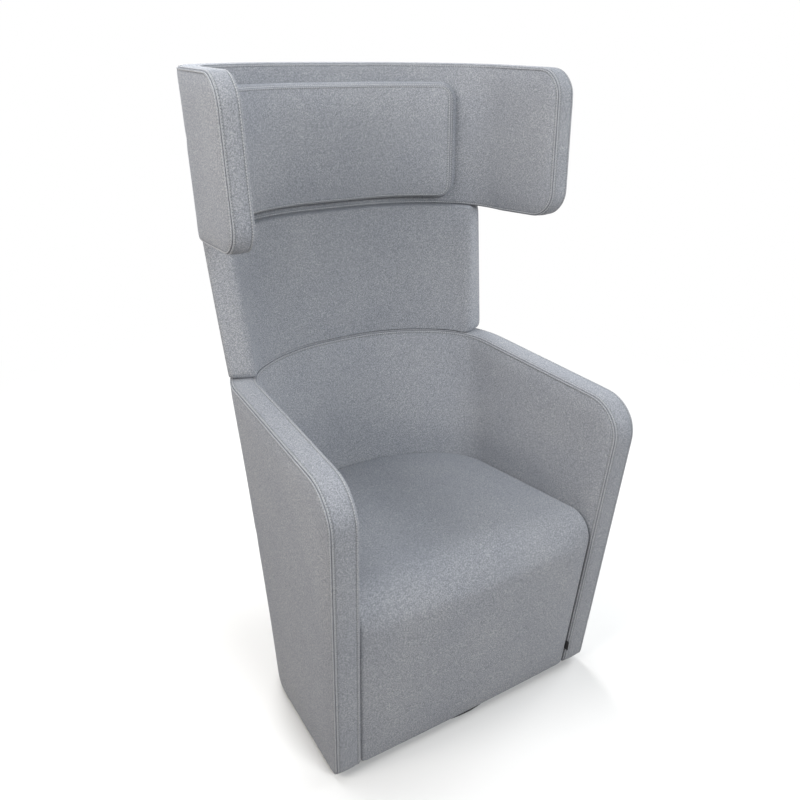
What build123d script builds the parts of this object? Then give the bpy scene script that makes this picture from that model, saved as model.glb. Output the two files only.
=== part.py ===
from build123d import *
from collections import namedtuple
import math
import os

# Acoustic high back lounge chair on a flat swivel base.
# Millimetres, +Z up. The origin is on the floor, on the swivel axis, and the sitter looks along -Y.
#
# The outside of the chair is one leaning skin through four level sections: foot, shoulder, neck and crown.
# Tub, mid back and head shroud are bands cut from that skin, and all that they hold is set in from it.

# ---------------------------------------------------------------- driving dimensions: outer form
FLOOR_GAP = 20.0            # floor to the underside of the upholstered body
SHOULDER_HEIGHT = 737.0     # seam between the tub and the mid back
NECK_HEIGHT = 1050.0        # level of the neck section, where the shroud begins
TOTAL_HEIGHT = 1375.0

FOOT_HALF_WIDTH = 348.0     # half widths, measured level with the front of the foot
SHOULDER_HALF_WIDTH = 379.0
NECK_HALF_WIDTH = 415.0
CROWN_HALF_WIDTH = 427.0
FOOT_BACK = 235.0           # outer face of the back behind the swivel axis, at each level
SHOULDER_BACK = 380.0
NECK_BACK = 412.0
CROWN_BACK = 440.0
SIDE_TOE_IN = 3.1           # degrees by which the sides draw together towards the back
CORNER_RADIUS = 193.0       # both rear corners, at every level
BACK_RADIUS = 412.0         # the back is two wide arcs with a short flat between them
BACK_FLAT = 8.0             # half of that flat at the narrowest level

# ---------------------------------------------------------------- driving dimensions: tub
FOOT_FRONT = 260.0          # front edge of the arms ahead of the swivel axis, at the floor gap
ARM_THICKNESS = 57.0
ARM_LEAN = 2.9              # degrees by which the front of the arms leans forward
ARM_FALL = 22.0             # the top of an arm falls by this from the shoulder to the front
ARM_CORNER = 95.0
ARM_TOE = 16.0              # rounding at the foot of the front edge
ARM_EDGE = 8.0              # softness of the padded edges

# ---------------------------------------------------------------- driving dimensions: mid back
MIDBACK_END = 18.0          # degrees behind the X axis at which the panel ends on each corner
MIDBACK_EDGE = 24.0         # the side edges are fully rounded
SEAM_GAP = 0.5              # between two upholstered parts that stand on each other

# ---------------------------------------------------------------- driving dimensions: head shroud
SHROUD_THICKNESS = 44.0
SHROUD_FRONT = 8.0          # front of the wings behind the swivel axis, at their lower corner
SHROUD_FRONT_HEIGHT = 1064.0
SHROUD_LEAN = 4.8
SHROUD_WING_CORNER = 62.0
SHROUD_EDGE = 8.0

# ---------------------------------------------------------------- driving dimensions: head pad
PAD_THICKNESS = 30.0
PAD_BOTTOM = 1068.0
PAD_TOP = 1335.0
PAD_END_ANGLE = 47.5        # where the pad ends on the corner of the shroud, from the X axis
PAD_CORNER = 36.0
PAD_BOARD_THICKNESS = 4.0
PAD_BOARD_MARGIN = 30.0

# ---------------------------------------------------------------- driving dimensions: seat
SEAT_HEIGHT = 444.0         # top of the front edge at the sides
SEAT_FALL = 4.0             # degrees by which the seat falls towards the back
SEAT_CROWN = 9.0
SEAT_FRONT_CROWN = 4.0
SEAT_STATIONS = 3           # steps of the crown from the middle to a side
SEAT_WATERFALL = 58.0
SEAT_SETBACK = 3.0          # front of the seat behind the front of the arms
SEAT_SIDE_GAP = 1.5
SEAT_HEM = 3.0              # lower edge of the apron above the underside of the tub
APRON_THICKNESS = 46.0

# ---------------------------------------------------------------- driving dimensions: inner structure
FIT = 0.3                   # clearance of a piece that is let into padding
STRAP_INSET = 11.0
STRAP_THICKNESS = 4.0
STRAP_WIDTH = 22.0
STRAP_OFFSET = 13.5         # middle of each strap from the centre line
STRAP_DROP = 177.0          # lower end of the straps below the shoulder
STRAP_RISE = 190.0          # upper end of the straps above the neck
CORE_THICKNESS = 12.0
CORE_MARGIN = 24.0          # padding between the rim of a core and the edge of its band
STRAP_SCREW_RADIUS = 3.0
STRAP_SCREW_MARGIN = 50.0   # from a strap's end, and from the shoulder and the neck

BOARD_THICKNESS = 18.0
DUST_COVER_THICKNESS = 1.0
RAIL_THICKNESS = 30.0
RAIL_HEIGHT = 60.0
RAIL_TOP = 322.0
SIDE_RAIL_END = 85.0        # rear end of the side rails behind the swivel axis
REAR_RAIL_HALF = 165.0
POST_WIDTH = 40.0
FRONT_BOARD_THICKNESS = 12.0
WEBBING_WIDTH = 50.0
WEBBING_THICKNESS = 1.5
LENGTHWISE_STRAPS = 5
CROSSWISE_STRAPS = 4

# ---------------------------------------------------------------- driving dimensions: swivel base
PLATE_RADIUS = 253.0
PLATE_THICKNESS = 8.0
PLATE_BEVEL = 3.0
FLOOR_PAD_THICKNESS = 2.0
FLOOR_PAD_MARGIN = 6.0
RACE_INNER = 105.0
RACE_OUTER = 165.0
RACE_THICKNESS = 5.0
RACE_GAP = 4.0              # between the two races
BALL_RADIUS = 4.0
BALL_CIRCLE = 125.0
BALL_COUNT = 10
BALL_PLAY = 0.1
CAGE_THICKNESS = 1.6
CAGE_WIDTH = 12.0
LOWER_SCREW_CIRCLE = 153.0  # heads of both races stand in the gap, on circles that pass each other
UPPER_BOLT_CIRCLE = 139.0
RACE_SCREW_RADIUS = 3.0
RACE_SCREW_HEAD = 6.0
RACE_SCREW_HEAD_DEPTH = 2.5
RACE_SCREW_COUNT = 4
RACE_NUT_HEIGHT = 5.0
STUD_RADIUS = 8.0
STUD_FLANGE_RADIUS = 30.0
STUD_FLANGE_THICKNESS = 5.0
STUD_NUT_RADIUS = 13.9
STUD_NUT_HEIGHT = 12.0
STUD_END = 3.0              # thread that stands above the nut
WASHER_RADIUS = 20.0
WASHER_THICKNESS = 2.5
BUSH_WALL = 4.0
RUNNING_FIT = 0.05          # radial, stud in bush

# ---------------------------------------------------------------- driving dimensions: seam tab
TAB_HEIGHT = 24.0
TAB_REACH = 11.0            # stands out of the seam
TAB_THICKNESS = 1.0
TAB_BOTTOM = 62.0

# ---------------------------------------------------------------- worked out from the values above
OVERSHOOT = 40.0            # how far a cutting body runs past what it cuts
SIDE_REACH = 600.0          # half width of a body that spans the whole chair
REAR_REACH = 700.0
PLATE_BOTTOM = FLOOR_PAD_THICKNESS
PLATE_TOP = PLATE_BOTTOM + PLATE_THICKNESS
LOWER_RACE_TOP = PLATE_TOP + RACE_THICKNESS
UPPER_RACE_BOTTOM = LOWER_RACE_TOP + RACE_GAP
BOARD_BOTTOM = UPPER_RACE_BOTTOM + RACE_THICKNESS
BOARD_TOP = BOARD_BOTTOM + BOARD_THICKNESS
BALL_HEIGHT = (LOWER_RACE_TOP + UPPER_RACE_BOTTOM) / 2
RAIL_BOTTOM = RAIL_TOP - RAIL_HEIGHT
WEBBING_TOP = RAIL_TOP + 2 * WEBBING_THICKNESS
CORE_INSET = STRAP_INSET + STRAP_THICKNESS + FIT
APRON_REAR = -FOOT_FRONT + APRON_THICKNESS
INNER_FIT = ARM_THICKNESS + FIT

Level = namedtuple("Level", "z half back")
FOOT = Level(FLOOR_GAP, FOOT_HALF_WIDTH, FOOT_BACK)
SHOULDER = Level(SHOULDER_HEIGHT, SHOULDER_HALF_WIDTH, SHOULDER_BACK)
NECK = Level(NECK_HEIGHT, NECK_HALF_WIDTH, NECK_BACK)
CROWN = Level(TOTAL_HEIGHT, CROWN_HALF_WIDTH, CROWN_BACK)
TUB = (FOOT, SHOULDER)
MIDBACK = (SHOULDER, NECK)
SHROUD = (NECK, CROWN)

# Every section has the same arcs. A wider one only has a longer flat in the middle of the back.
TOE = math.radians(SIDE_TOE_IN)
BACK_REACH = BACK_RADIUS - CORNER_RADIUS        # between the centres of a back arc and a corner arc


def corner_x(level, sweep):
    """Middle of the right corner arc from the centre line, where each back arc turns by a sweep."""
    depth = level.back - BACK_RADIUS + BACK_REACH * math.cos(sweep)
    return level.half - CORNER_RADIUS / math.cos(TOE) - (depth + FOOT_FRONT) * math.tan(TOE)


def back_sweep():
    """Angle that leaves the narrowest level the shortest flat."""
    sweep = math.radians(30)
    for _ in range(20):
        narrowest = min(corner_x(level, sweep) for level in (FOOT, SHOULDER, NECK, CROWN))
        sweep = math.asin((narrowest - BACK_FLAT) / BACK_REACH)
    return sweep


SWEEP = back_sweep()
TURN = math.pi / 2 - SWEEP                      # where a corner arc meets its back arc


# ---------------------------------------------------------------- the leaning skin
def level_at(stage, z):
    """The section at height z, on the straight line from a stage's lower to its upper level."""
    low, high = stage
    share = (z - low.z) / (high.z - low.z)
    values = [a + (b - a) * share for a, b in zip(low, high)]
    return Level(*values)


def polar(centre, radius, angle):
    """Point on a circle, with the angle in radians from the X axis."""
    return centre + Vector(math.cos(angle), math.sin(angle)) * radius


def corner_centre(level):
    """Middle of the right corner arc of a section."""
    return Vector(corner_x(level, SWEEP), level.back - BACK_RADIUS + BACK_REACH * math.cos(SWEEP))


def curve(level, inset, start):
    """Right half of the back, from an angle on its corner to the flat, as arcs of (start, middle, end)."""
    centre = corner_centre(level)
    radius = CORNER_RADIUS - inset
    flat = Vector(centre.X - BACK_REACH * math.sin(SWEEP), level.back - inset)
    back_centre = flat - Vector(0, BACK_RADIUS - inset)
    joint = polar(centre, radius, TURN)
    corner = (polar(centre, radius, start), polar(centre, radius, (start + TURN) / 2), joint)
    back = (joint, polar(back_centre, BACK_RADIUS - inset, (TURN + math.pi / 2) / 2), flat)
    return [corner, back]


def open_section(level, inset):
    """Right half of a section with its straight side, from ahead of the chair to the flat."""
    arcs = curve(level, inset, TOE)
    rear = arcs[0][0]
    reach = rear.Y + FOOT_FRONT + 3 * OVERSHOOT
    return [(rear + Vector(math.tan(TOE), -1) * reach, rear)] + arcs


def wall_section(level, outer, inner, end, edge):
    """Right half of a wall that ends on its corner, from its inner to its outer flat."""
    centre = corner_centre(level)
    far = CORNER_RADIUS - outer - edge
    near = CORNER_RADIUS - inner + edge
    far_turn = end + math.asin(edge / far)
    near_turn = end + math.asin(edge / near)
    inside = polar(centre, math.sqrt(near**2 - edge**2), end)
    outside = polar(centre, math.sqrt(far**2 - edge**2), end)
    half = [tuple(reversed(points)) for points in reversed(curve(level, inner, near_turn))]
    if edge:
        halfway = polar(polar(centre, near, near_turn), edge, (near_turn + end - math.pi * 1.5) / 2)
        half.append((half[-1][-1], halfway, inside))
    half.append((inside, outside))
    if edge:
        halfway = polar(polar(centre, far, far_turn), edge, (far_turn + end - math.pi / 2) / 2)
        half.append((outside, halfway, polar(centre, far + edge, far_turn)))
    return half + curve(level, outer, far_turn)


def whole(half, z):
    """Closed section from the lines and arcs of its right half."""
    left = [tuple(Vector(-p.X, p.Y) for p in reversed(points)) for points in reversed(half)]
    loop = half + [(half[-1][-1], left[0][0])] + left + [(left[-1][-1], half[0][0])]
    return [[Vector(p.X, p.Y, z) for p in points] for points in loop]


def between(stage, section, *sizes):
    """Solid between two sections of a stage, moved apart so that it can be cut to length."""
    low, high = [level_at(stage, z) for z in (stage[0].z - OVERSHOOT, stage[1].z + OVERSHOOT)]
    faces = []
    caps = ([], [])
    for below, above in zip(whole(section(low, *sizes), low.z), whole(section(high, *sizes), high.z)):
        if len(below) == 2:
            faces.append(make_face(Polyline(*below, above[1], above[0], close=True)))
            edges = Line(*below), Line(*above)
        else:
            edges = ThreePointArc(*below), ThreePointArc(*above)
            faces.append(Face.extrude(edges[0], above[0] - below[0]))
        caps[0].append(edges[0])
        caps[1].append(edges[1])
    return Solid(Shell(faces + [make_face(cap) for cap in caps]))


def form(stage, inset):
    """Solid inside the skin of one stage, set in by the given amount."""
    return between(stage, open_section, inset)


def band(stage, outer, inner):
    """Wall of one stage between two insets."""
    return form(stage, outer) - form(stage, inner)


def curved_wall(stage, outer, inner, end, edge):
    """Wall that ends on its corners, at an angle behind the X axis. An edge of 0 leaves the ends square."""
    return between(stage, wall_section, outer, inner, end, edge)


def slope_back(stage):
    """Outward normal of the flat in the middle of the back."""
    low, high = stage
    rise = Vector(0, high.back - low.back, high.z - low.z).normalized()
    return Vector(0, rise.Z, -rise.Y)


# ---------------------------------------------------------------- outlines in side view
def outline(corners):
    """Edges of a closed outline. Each corner is (first, second, radius)."""
    count = len(corners)
    entries = []
    for i, (u, v, radius) in enumerate(corners):
        here = Vector(u, v)
        before = (Vector(*corners[i - 1][:2]) - here).normalized()
        after = (Vector(*corners[(i + 1) % count][:2]) - here).normalized()
        half_angle = math.acos(max(-1.0, min(1.0, before.dot(after)))) / 2
        reach = radius / math.tan(half_angle)
        middle = here + (before + after).normalized() * (radius / math.sin(half_angle) - radius)
        entries.append((here + before * reach, middle, here + after * reach, radius))
    return entries


def side_face(corners, x=0.0):
    """Face in a plane across X, from corners given as (y, z, radius)."""
    entries = outline(corners)
    edges = []
    for i, (start, middle, end, radius) in enumerate(entries):
        if radius > 0:
            points = [(x, p.X, p.Y) for p in (start, middle, end)]
            edges.append(ThreePointArc(*points))
        following = entries[(i + 1) % len(entries)][0]
        edges.append(Line((x, end.X, end.Y), (x, following.X, following.Y)))
    return make_face(edges)


def side_slab(corners):
    """Side outline drawn across the whole chair."""
    return extrude(side_face(corners), amount=SIDE_REACH, dir=(1, 0, 0), both=True)


def block(x, y, z):
    """Box between three (low, high) pairs."""
    size = Box(x[1] - x[0], y[1] - y[0], z[1] - z[0], align=(Align.MIN, Align.MIN, Align.MIN))
    return Pos(x[0], y[0], z[0]) * size


def arm_front(z):
    """Front edge of the arms at height z."""
    return -FOOT_FRONT - (z - FLOOR_GAP) * math.tan(math.radians(ARM_LEAN))


def shroud_front(z):
    """Front edge of the wings at height z."""
    return SHROUD_FRONT + (z - SHROUD_FRONT_HEIGHT) * math.tan(math.radians(SHROUD_LEAN))


def tub_outline(margin, bottom):
    """Side view of the tub, with its front and top drawn in by a margin."""
    z = SHOULDER_HEIGHT - ARM_FALL - margin
    corner = max(ARM_CORNER - margin, ARM_EDGE)
    return [
        (arm_front(bottom) + margin, bottom, ARM_TOE if margin == 0 else 0),
        (arm_front(z) + margin, z, corner),
        (corner_centre(SHOULDER).Y, SHOULDER_HEIGHT - margin, 0),
        (REAR_REACH, SHOULDER_HEIGHT - margin, 0),
        (REAR_REACH, bottom, 0),
    ]


def midback_outline(margin, bottom_margin):
    """Side view of the room between the tub and the shroud."""
    low = SHOULDER_HEIGHT + SEAM_GAP + bottom_margin
    top = NECK_HEIGHT - margin
    return [(0, low, 0), (0, top, 0), (REAR_REACH, top, 0), (REAR_REACH, low, 0)]


def shroud_outline(margin):
    """Side view of the head shroud, drawn in all round by a margin. It stands level on the mid back."""
    front_low = SHROUD_FRONT_HEIGHT + margin
    low = NECK_HEIGHT + SEAM_GAP + margin
    top = TOTAL_HEIGHT - margin
    corner = max(SHROUD_WING_CORNER - margin, SHROUD_EDGE)
    return [
        (shroud_front(front_low) + margin, front_low, corner),
        (shroud_front(top) + margin, top, corner),
        (REAR_REACH, top, 0),
        (REAR_REACH, low, 0),
        (corner_centre(NECK).Y, low, 0),
    ]


# ---------------------------------------------------------------- spine straps and cores
def strap_zone(stage, play, z_low, z_high):
    """Space of both straps in one stage."""
    wall = band(stage, STRAP_INSET - play, STRAP_INSET + STRAP_THICKNESS + play)
    half = STRAP_WIDTH / 2 + play
    zones = []
    for side in (-1, 1):
        middle = side * STRAP_OFFSET
        room = block((middle - half, middle + half), (0, REAR_REACH), (z_low - play, z_high + play))
        zones.append(wall & room)
    return zones


def strap_screw_heights():
    """Two heights in each stage."""
    ends = (SHOULDER_HEIGHT - STRAP_DROP, SHOULDER_HEIGHT, NECK_HEIGHT, NECK_HEIGHT + STRAP_RISE)
    heights = []
    for low, high in zip(ends, ends[1:]):
        heights += [low + STRAP_SCREW_MARGIN, high - STRAP_SCREW_MARGIN]
    return heights


def strap_screws(play):
    """Screws from a strap into its core, flush with the strap."""
    length = STRAP_THICKNESS + FIT + CORE_THICKNESS / 2
    screw = bar(STRAP_SCREW_RADIUS + play, length)
    screws = []
    for z in strap_screw_heights():
        stage = TUB if z < SHOULDER_HEIGHT else MIDBACK if z < NECK_HEIGHT else SHROUD
        outward = slope_back(stage)
        y = level_at(stage, z).back - STRAP_INSET / outward.Y
        for side in (-1, 1):
            frame = Plane(origin=(side * STRAP_OFFSET, y, z), z_dir=outward * -1)
            screws.append(frame.location * screw)
    return screws


def bar(radius, length):
    """Thin shank, or the hole for one, with eight flats."""
    return extrude(RegularPolygon(radius, 8), length)


def cut_all(body, tools):
    """The body less each tool in turn."""
    for tool in tools:
        body = body - tool
    return body


def core(stage, corners, play):
    """Moulded core of one stage inside a side outline."""
    return band(stage, CORE_INSET - play, CORE_INSET + CORE_THICKNESS + play) & side_slab(corners)


def make_spine_straps():
    """Two straps that run from the tub through the mid back into the shroud, each in three joined lengths."""
    joint_low = SHOULDER_HEIGHT
    joint_high = NECK_HEIGHT
    lengths = [
        strap_zone(TUB, 0, SHOULDER_HEIGHT - STRAP_DROP, joint_low),
        strap_zone(MIDBACK, 0, joint_low, joint_high),
        strap_zone(SHROUD, 0, joint_high, NECK_HEIGHT + STRAP_RISE),
    ]
    holes = strap_screws(0.1)
    straps = []
    for pieces in zip(*lengths):
        strap = pieces[0] + pieces[1] + pieces[2]
        straps.append(cut_all(strap, holes))
    return straps


def make_tub_core():
    corners = tub_outline(CORE_MARGIN, FLOOR_GAP + FIT)
    return cut_all(core(TUB, corners, 0), strap_screws(0.1))


def midback_core(play):
    """Moulded core of the mid back, enlarged by a play."""
    end = math.radians(MIDBACK_END) + (CORE_MARGIN - play) / (CORNER_RADIUS - CORE_INSET)
    wall = curved_wall(MIDBACK, CORE_INSET - play, CORE_INSET + CORE_THICKNESS + play, end, 0)
    return wall & side_slab(midback_outline(CORE_MARGIN - play, -OVERSHOOT if play else 0))


def make_midback_core():
    return cut_all(midback_core(0), strap_screws(0.1))


def make_shroud_core():
    return cut_all(core(SHROUD, shroud_outline(CORE_MARGIN), 0), strap_screws(0.1))


# ---------------------------------------------------------------- upholstered bands
def make_tub_upholstery():
    """Arms and lower back in one padded band, open below, with the core and the straps let in."""
    body = band(TUB, 0, ARM_THICKNESS) & side_slab(tub_outline(0, FLOOR_GAP))
    pocket = core(TUB, tub_outline(CORE_MARGIN - FIT, FLOOR_GAP - OVERSHOOT), FIT)
    channels = strap_zone(TUB, FIT, SHOULDER_HEIGHT - STRAP_DROP, SHOULDER_HEIGHT + OVERSHOOT)
    return cut_all(body, [pocket] + channels)


def make_midback_upholstery():
    """Curved panel whose side edges are fully rounded, standing on the tub."""
    wall = curved_wall(MIDBACK, 0, ARM_THICKNESS, math.radians(MIDBACK_END), MIDBACK_EDGE)
    body = wall & side_slab(midback_outline(0, 0))
    channels = strap_zone(MIDBACK, FIT, SHOULDER_HEIGHT - OVERSHOOT, NECK_HEIGHT + OVERSHOOT)
    return cut_all(body, [midback_core(FIT)] + channels)


def make_shroud_upholstery():
    """C-shaped padded panel round the head, with rounded wing corners."""
    body = band(SHROUD, 0, SHROUD_THICKNESS) & side_slab(shroud_outline(0))
    pocket = core(SHROUD, shroud_outline(CORE_MARGIN - FIT), FIT)
    channels = strap_zone(SHROUD, FIT, NECK_HEIGHT - OVERSHOOT, NECK_HEIGHT + STRAP_RISE)
    return cut_all(body, [pocket] + channels)


# ---------------------------------------------------------------- head pad
def pad_end():
    """A point on the right end plane of the pad, and the direction that plane takes through the padding."""
    centre = corner_centre(level_at(SHROUD, (PAD_TOP + PAD_BOTTOM) / 2))
    angle = math.radians(PAD_END_ANGLE)
    return centre, Vector(math.cos(angle), math.sin(angle))


def pad_slice(outer, inner, margin):
    """Part of the shroud's inside between two insets, out to the pad's ends less a margin."""
    centre, end = pad_end()
    root = centre + Vector(-end.Y, end.X) * margin
    tip = root + end * SIDE_REACH
    points = [(root.X, root.Y), (tip.X, tip.Y), (-tip.X, tip.Y), (-root.X, root.Y)]
    floor = Pos(0, 0, PAD_BOTTOM + margin) * make_face(Polyline(*points, close=True))
    wedge = extrude(floor, PAD_TOP - PAD_BOTTOM - 2 * margin)
    return band(SHROUD, outer, inner) & wedge


def pad_corner_cutters():
    """Bodies that round the four corners of the pad as seen from the sitter's side."""
    corner, end = pad_end()
    plane = Plane(origin=(corner.X, corner.Y, PAD_BOTTOM), x_dir=Vector(-end.Y, end.X), z_dir=end)
    over = OVERSHOOT / 4
    square = Rectangle(PAD_CORNER + over, PAD_CORNER + over, align=(Align.MIN, Align.MIN))
    waste = Pos(-over, -over) * square - Pos(PAD_CORNER, PAD_CORNER) * Circle(PAD_CORNER)
    low_right = plane.location * extrude(waste, SIDE_REACH)
    high_right = mirror(low_right, Plane.XY.offset((PAD_BOTTOM + PAD_TOP) / 2))
    rights = [low_right, high_right]
    return rights + [mirror(cutter, Plane.YZ) for cutter in rights]


def make_head_pad():
    """Thin pad that follows the inside of the shroud, with its board let in behind."""
    outer = SHROUD_THICKNESS + FIT
    body = cut_all(pad_slice(outer, outer + PAD_THICKNESS, 0), pad_corner_cutters())
    return body - pad_slice(outer - OVERSHOOT / 2, outer + PAD_BOARD_THICKNESS + FIT, PAD_BOARD_MARGIN - FIT)


def make_head_pad_board():
    outer = SHROUD_THICKNESS + FIT
    return pad_slice(outer, outer + PAD_BOARD_THICKNESS, PAD_BOARD_MARGIN)


# ---------------------------------------------------------------- seat
def seat_outline(crown):
    """Side view of the seat and its apron, raised by a share of the crown from 0 to 1."""
    low = FLOOR_GAP + SEAT_HEM
    top = SEAT_HEIGHT + SEAT_CROWN * crown
    bulge = SEAT_FRONT_CROWN * crown
    rear_top = top - (REAR_REACH - arm_front(SEAT_HEIGHT)) * math.tan(math.radians(SEAT_FALL))
    return [
        (arm_front(low) + SEAT_SETBACK - bulge, low, ARM_TOE),
        (arm_front(top) + SEAT_SETBACK - bulge, top, SEAT_WATERFALL),
        (REAR_REACH, rear_top, 0),
        (REAR_REACH, WEBBING_TOP, 0),
        (APRON_REAR, WEBBING_TOP, 0),
        (APRON_REAR, low, 0),
    ]


def make_seat_upholstery():
    """Crowned cushion that turns down over its waterfall edge into the apron."""
    shares = [i / SEAT_STATIONS for i in range(-SEAT_STATIONS, SEAT_STATIONS + 1)]
    faces = [side_face(seat_outline(1 - share**2), FOOT_HALF_WIDTH * share) for share in shares]
    body = loft(faces, ruled=True)
    return body & form(TUB, ARM_THICKNESS + SEAT_SIDE_GAP)


# ---------------------------------------------------------------- frame under the seat
def inner_slice(thickness, x, y, z):
    """Wooden piece that follows the inner face of the tub."""
    return band(TUB, INNER_FIT, INNER_FIT + thickness) & block(x, y, z)


def make_side_rail(side):
    span = (0, SIDE_REACH) if side > 0 else (-SIDE_REACH, 0)
    return inner_slice(RAIL_THICKNESS, span, (APRON_REAR, SIDE_RAIL_END), (RAIL_BOTTOM, RAIL_TOP))


def make_rear_rail():
    span = (-REAR_RAIL_HALF, REAR_RAIL_HALF)
    return inner_slice(RAIL_THICKNESS, span, (0, REAR_REACH), (RAIL_BOTTOM, RAIL_TOP))


def make_front_rail():
    """Rail between the side rails, behind the front board."""
    start = APRON_REAR + FRONT_BOARD_THICKNESS
    span = block((-SIDE_REACH, SIDE_REACH), (start, start + RAIL_THICKNESS), (RAIL_BOTTOM, RAIL_TOP))
    return form(TUB, INNER_FIT + RAIL_THICKNESS) & span


def make_front_board():
    """Board that carries the apron, from the bottom board to the rails."""
    span = block(
        (-SIDE_REACH, SIDE_REACH), (APRON_REAR, APRON_REAR + FRONT_BOARD_THICKNESS), (BOARD_TOP, RAIL_TOP)
    )
    return form(TUB, INNER_FIT + RAIL_THICKNESS) & span


def make_posts():
    """Uprights between the bottom board and the rails: two at each side, and two at the rear."""
    heights = (BOARD_TOP, RAIL_BOTTOM)
    posts = []
    for span in ((0, SIDE_REACH), (-SIDE_REACH, 0)):
        for start in (APRON_REAR, SIDE_RAIL_END - POST_WIDTH):
            posts.append(inner_slice(RAIL_THICKNESS, span, (start, start + POST_WIDTH), heights))
    for start in (-REAR_RAIL_HALF, REAR_RAIL_HALF - POST_WIDTH):
        posts.append(inner_slice(RAIL_THICKNESS, (start, start + POST_WIDTH), (0, REAR_REACH), heights))
    return posts


def webbing_span():
    """Room for the webbing: from the front rail to the rear rail and between the sides."""
    front = APRON_REAR + FRONT_BOARD_THICKNESS
    level = level_at(TUB, RAIL_TOP)
    rear = level.back - INNER_FIT - RAIL_THICKNESS / 3
    return front, rear


def make_webbing_crosswise():
    front, rear = webbing_span()
    last = SIDE_RAIL_END - WEBBING_WIDTH
    step = (last - front) / (CROSSWISE_STRAPS - 1)
    room = form(TUB, INNER_FIT + 2)
    straps = []
    for i in range(CROSSWISE_STRAPS):
        y = front + step * i
        heights = (RAIL_TOP, RAIL_TOP + WEBBING_THICKNESS)
        strip = block((-SIDE_REACH, SIDE_REACH), (y, y + WEBBING_WIDTH), heights)
        straps.append(room & strip)
    return straps


def make_webbing_lengthwise():
    front, rear = webbing_span()
    room = form(TUB, INNER_FIT + 2)
    reach = REAR_RAIL_HALF - WEBBING_WIDTH / 2
    step = 2 * reach / (LENGTHWISE_STRAPS - 1)
    z = RAIL_TOP + WEBBING_THICKNESS
    straps = []
    for i in range(LENGTHWISE_STRAPS):
        x = -reach + step * i - WEBBING_WIDTH / 2
        straps.append(room & block((x, x + WEBBING_WIDTH), (front, rear), (z, z + WEBBING_THICKNESS)))
    return straps


def race_spots(radius, z):
    """Places of the race fasteners on a circle."""
    return [Pos(0, 0, z) * spot for spot in PolarLocations(radius, RACE_SCREW_COUNT, start_angle=45)]


def screw_holes(radius, z, depth):
    """Holes for the race fasteners through a plate that starts at height z."""
    hole = bar(RACE_SCREW_RADIUS + RUNNING_FIT, depth + OVERSHOOT / 2)
    return [spot * hole for spot in race_spots(radius, z - OVERSHOOT / 4)]


def make_bottom_board():
    """Board that closes the foot of the tub and carries the upper race."""
    room = form(TUB, INNER_FIT)
    board = room & block((-SIDE_REACH, SIDE_REACH), (APRON_REAR, REAR_REACH), (BOARD_BOTTOM, BOARD_TOP))
    bush = STUD_RADIUS + RUNNING_FIT + BUSH_WALL
    board = board - Pos(0, 0, BOARD_BOTTOM) * drill(bush + RUNNING_FIT, BOARD_THICKNESS)
    return cut_all(board, screw_holes(UPPER_BOLT_CIRCLE, BOARD_BOTTOM, BOARD_THICKNESS))


def make_dust_cover():
    """Thin cloth stapled under the bottom board, round the race."""
    low = BOARD_BOTTOM - DUST_COVER_THICKNESS
    room = form(TUB, INNER_FIT + 4)
    sheet = room & block((-SIDE_REACH, SIDE_REACH), (APRON_REAR + 4, REAR_REACH), (low, BOARD_BOTTOM))
    return sheet - Pos(0, 0, low) * drill(RACE_OUTER + 3, DUST_COVER_THICKNESS)


# ---------------------------------------------------------------- swivel base
def rod(radius, height):
    """Cylinder standing on its own origin."""
    return Cylinder(radius, height, align=(Align.CENTER, Align.CENTER, Align.MIN))


def drill(radius, depth):
    """Cutting cylinder that overshoots both ends of a hole."""
    return Pos(0, 0, -OVERSHOOT / 4) * rod(radius, depth + OVERSHOOT / 2)


def make_floor_pad():
    return rod(PLATE_RADIUS - FLOOR_PAD_MARGIN, FLOOR_PAD_THICKNESS)


def make_base_plate():
    """Round steel plate with a bevelled upper rim."""
    plate = Pos(0, 0, PLATE_BOTTOM) * rod(PLATE_RADIUS, PLATE_THICKNESS)
    rim = plate.edges().filter_by(GeomType.CIRCLE).sort_by(Axis.Z)[-1]
    return cut_all(chamfer(rim, PLATE_BEVEL), screw_holes(LOWER_SCREW_CIRCLE, PLATE_BOTTOM, PLATE_THICKNESS))


def groove():
    """Track of the balls, cut by both races."""
    half = BALL_RADIUS + BALL_PLAY
    ring = rod(BALL_CIRCLE + half, 2 * half) - drill(BALL_CIRCLE - half, 2 * half)
    return Pos(0, 0, BALL_HEIGHT - half) * ring


def make_race(z, screw_circle):
    """Flat ring with a ball track and screw holes."""
    ring = rod(RACE_OUTER, RACE_THICKNESS) - drill(RACE_INNER, RACE_THICKNESS)
    return cut_all(Pos(0, 0, z) * ring - groove(), screw_holes(screw_circle, z, RACE_THICKNESS))


def make_lower_race_screws():
    """Screws from the lower race down into the base plate."""
    length = LOWER_RACE_TOP - PLATE_BOTTOM
    head = extrude(RegularPolygon(RACE_SCREW_HEAD, 6), RACE_SCREW_HEAD_DEPTH)
    screw = Pos(0, 0, -length) * bar(RACE_SCREW_RADIUS, length) + head
    return [spot * screw for spot in race_spots(LOWER_SCREW_CIRCLE, LOWER_RACE_TOP)]


def make_upper_race_bolts():
    """Bolts from the upper race up through the bottom board, with their heads below and nuts above."""
    reach = BOARD_TOP - UPPER_RACE_BOTTOM
    shank = bar(RACE_SCREW_RADIUS, reach + RACE_NUT_HEIGHT + 1)
    hexagon = RegularPolygon(RACE_SCREW_HEAD, 6)
    head = Pos(0, 0, -RACE_SCREW_HEAD_DEPTH) * extrude(hexagon, RACE_SCREW_HEAD_DEPTH)
    nut = Pos(0, 0, reach) * extrude(hexagon, RACE_NUT_HEIGHT)
    return [spot * (shank + head + nut) for spot in race_spots(UPPER_BOLT_CIRCLE, UPPER_RACE_BOTTOM)]


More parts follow.
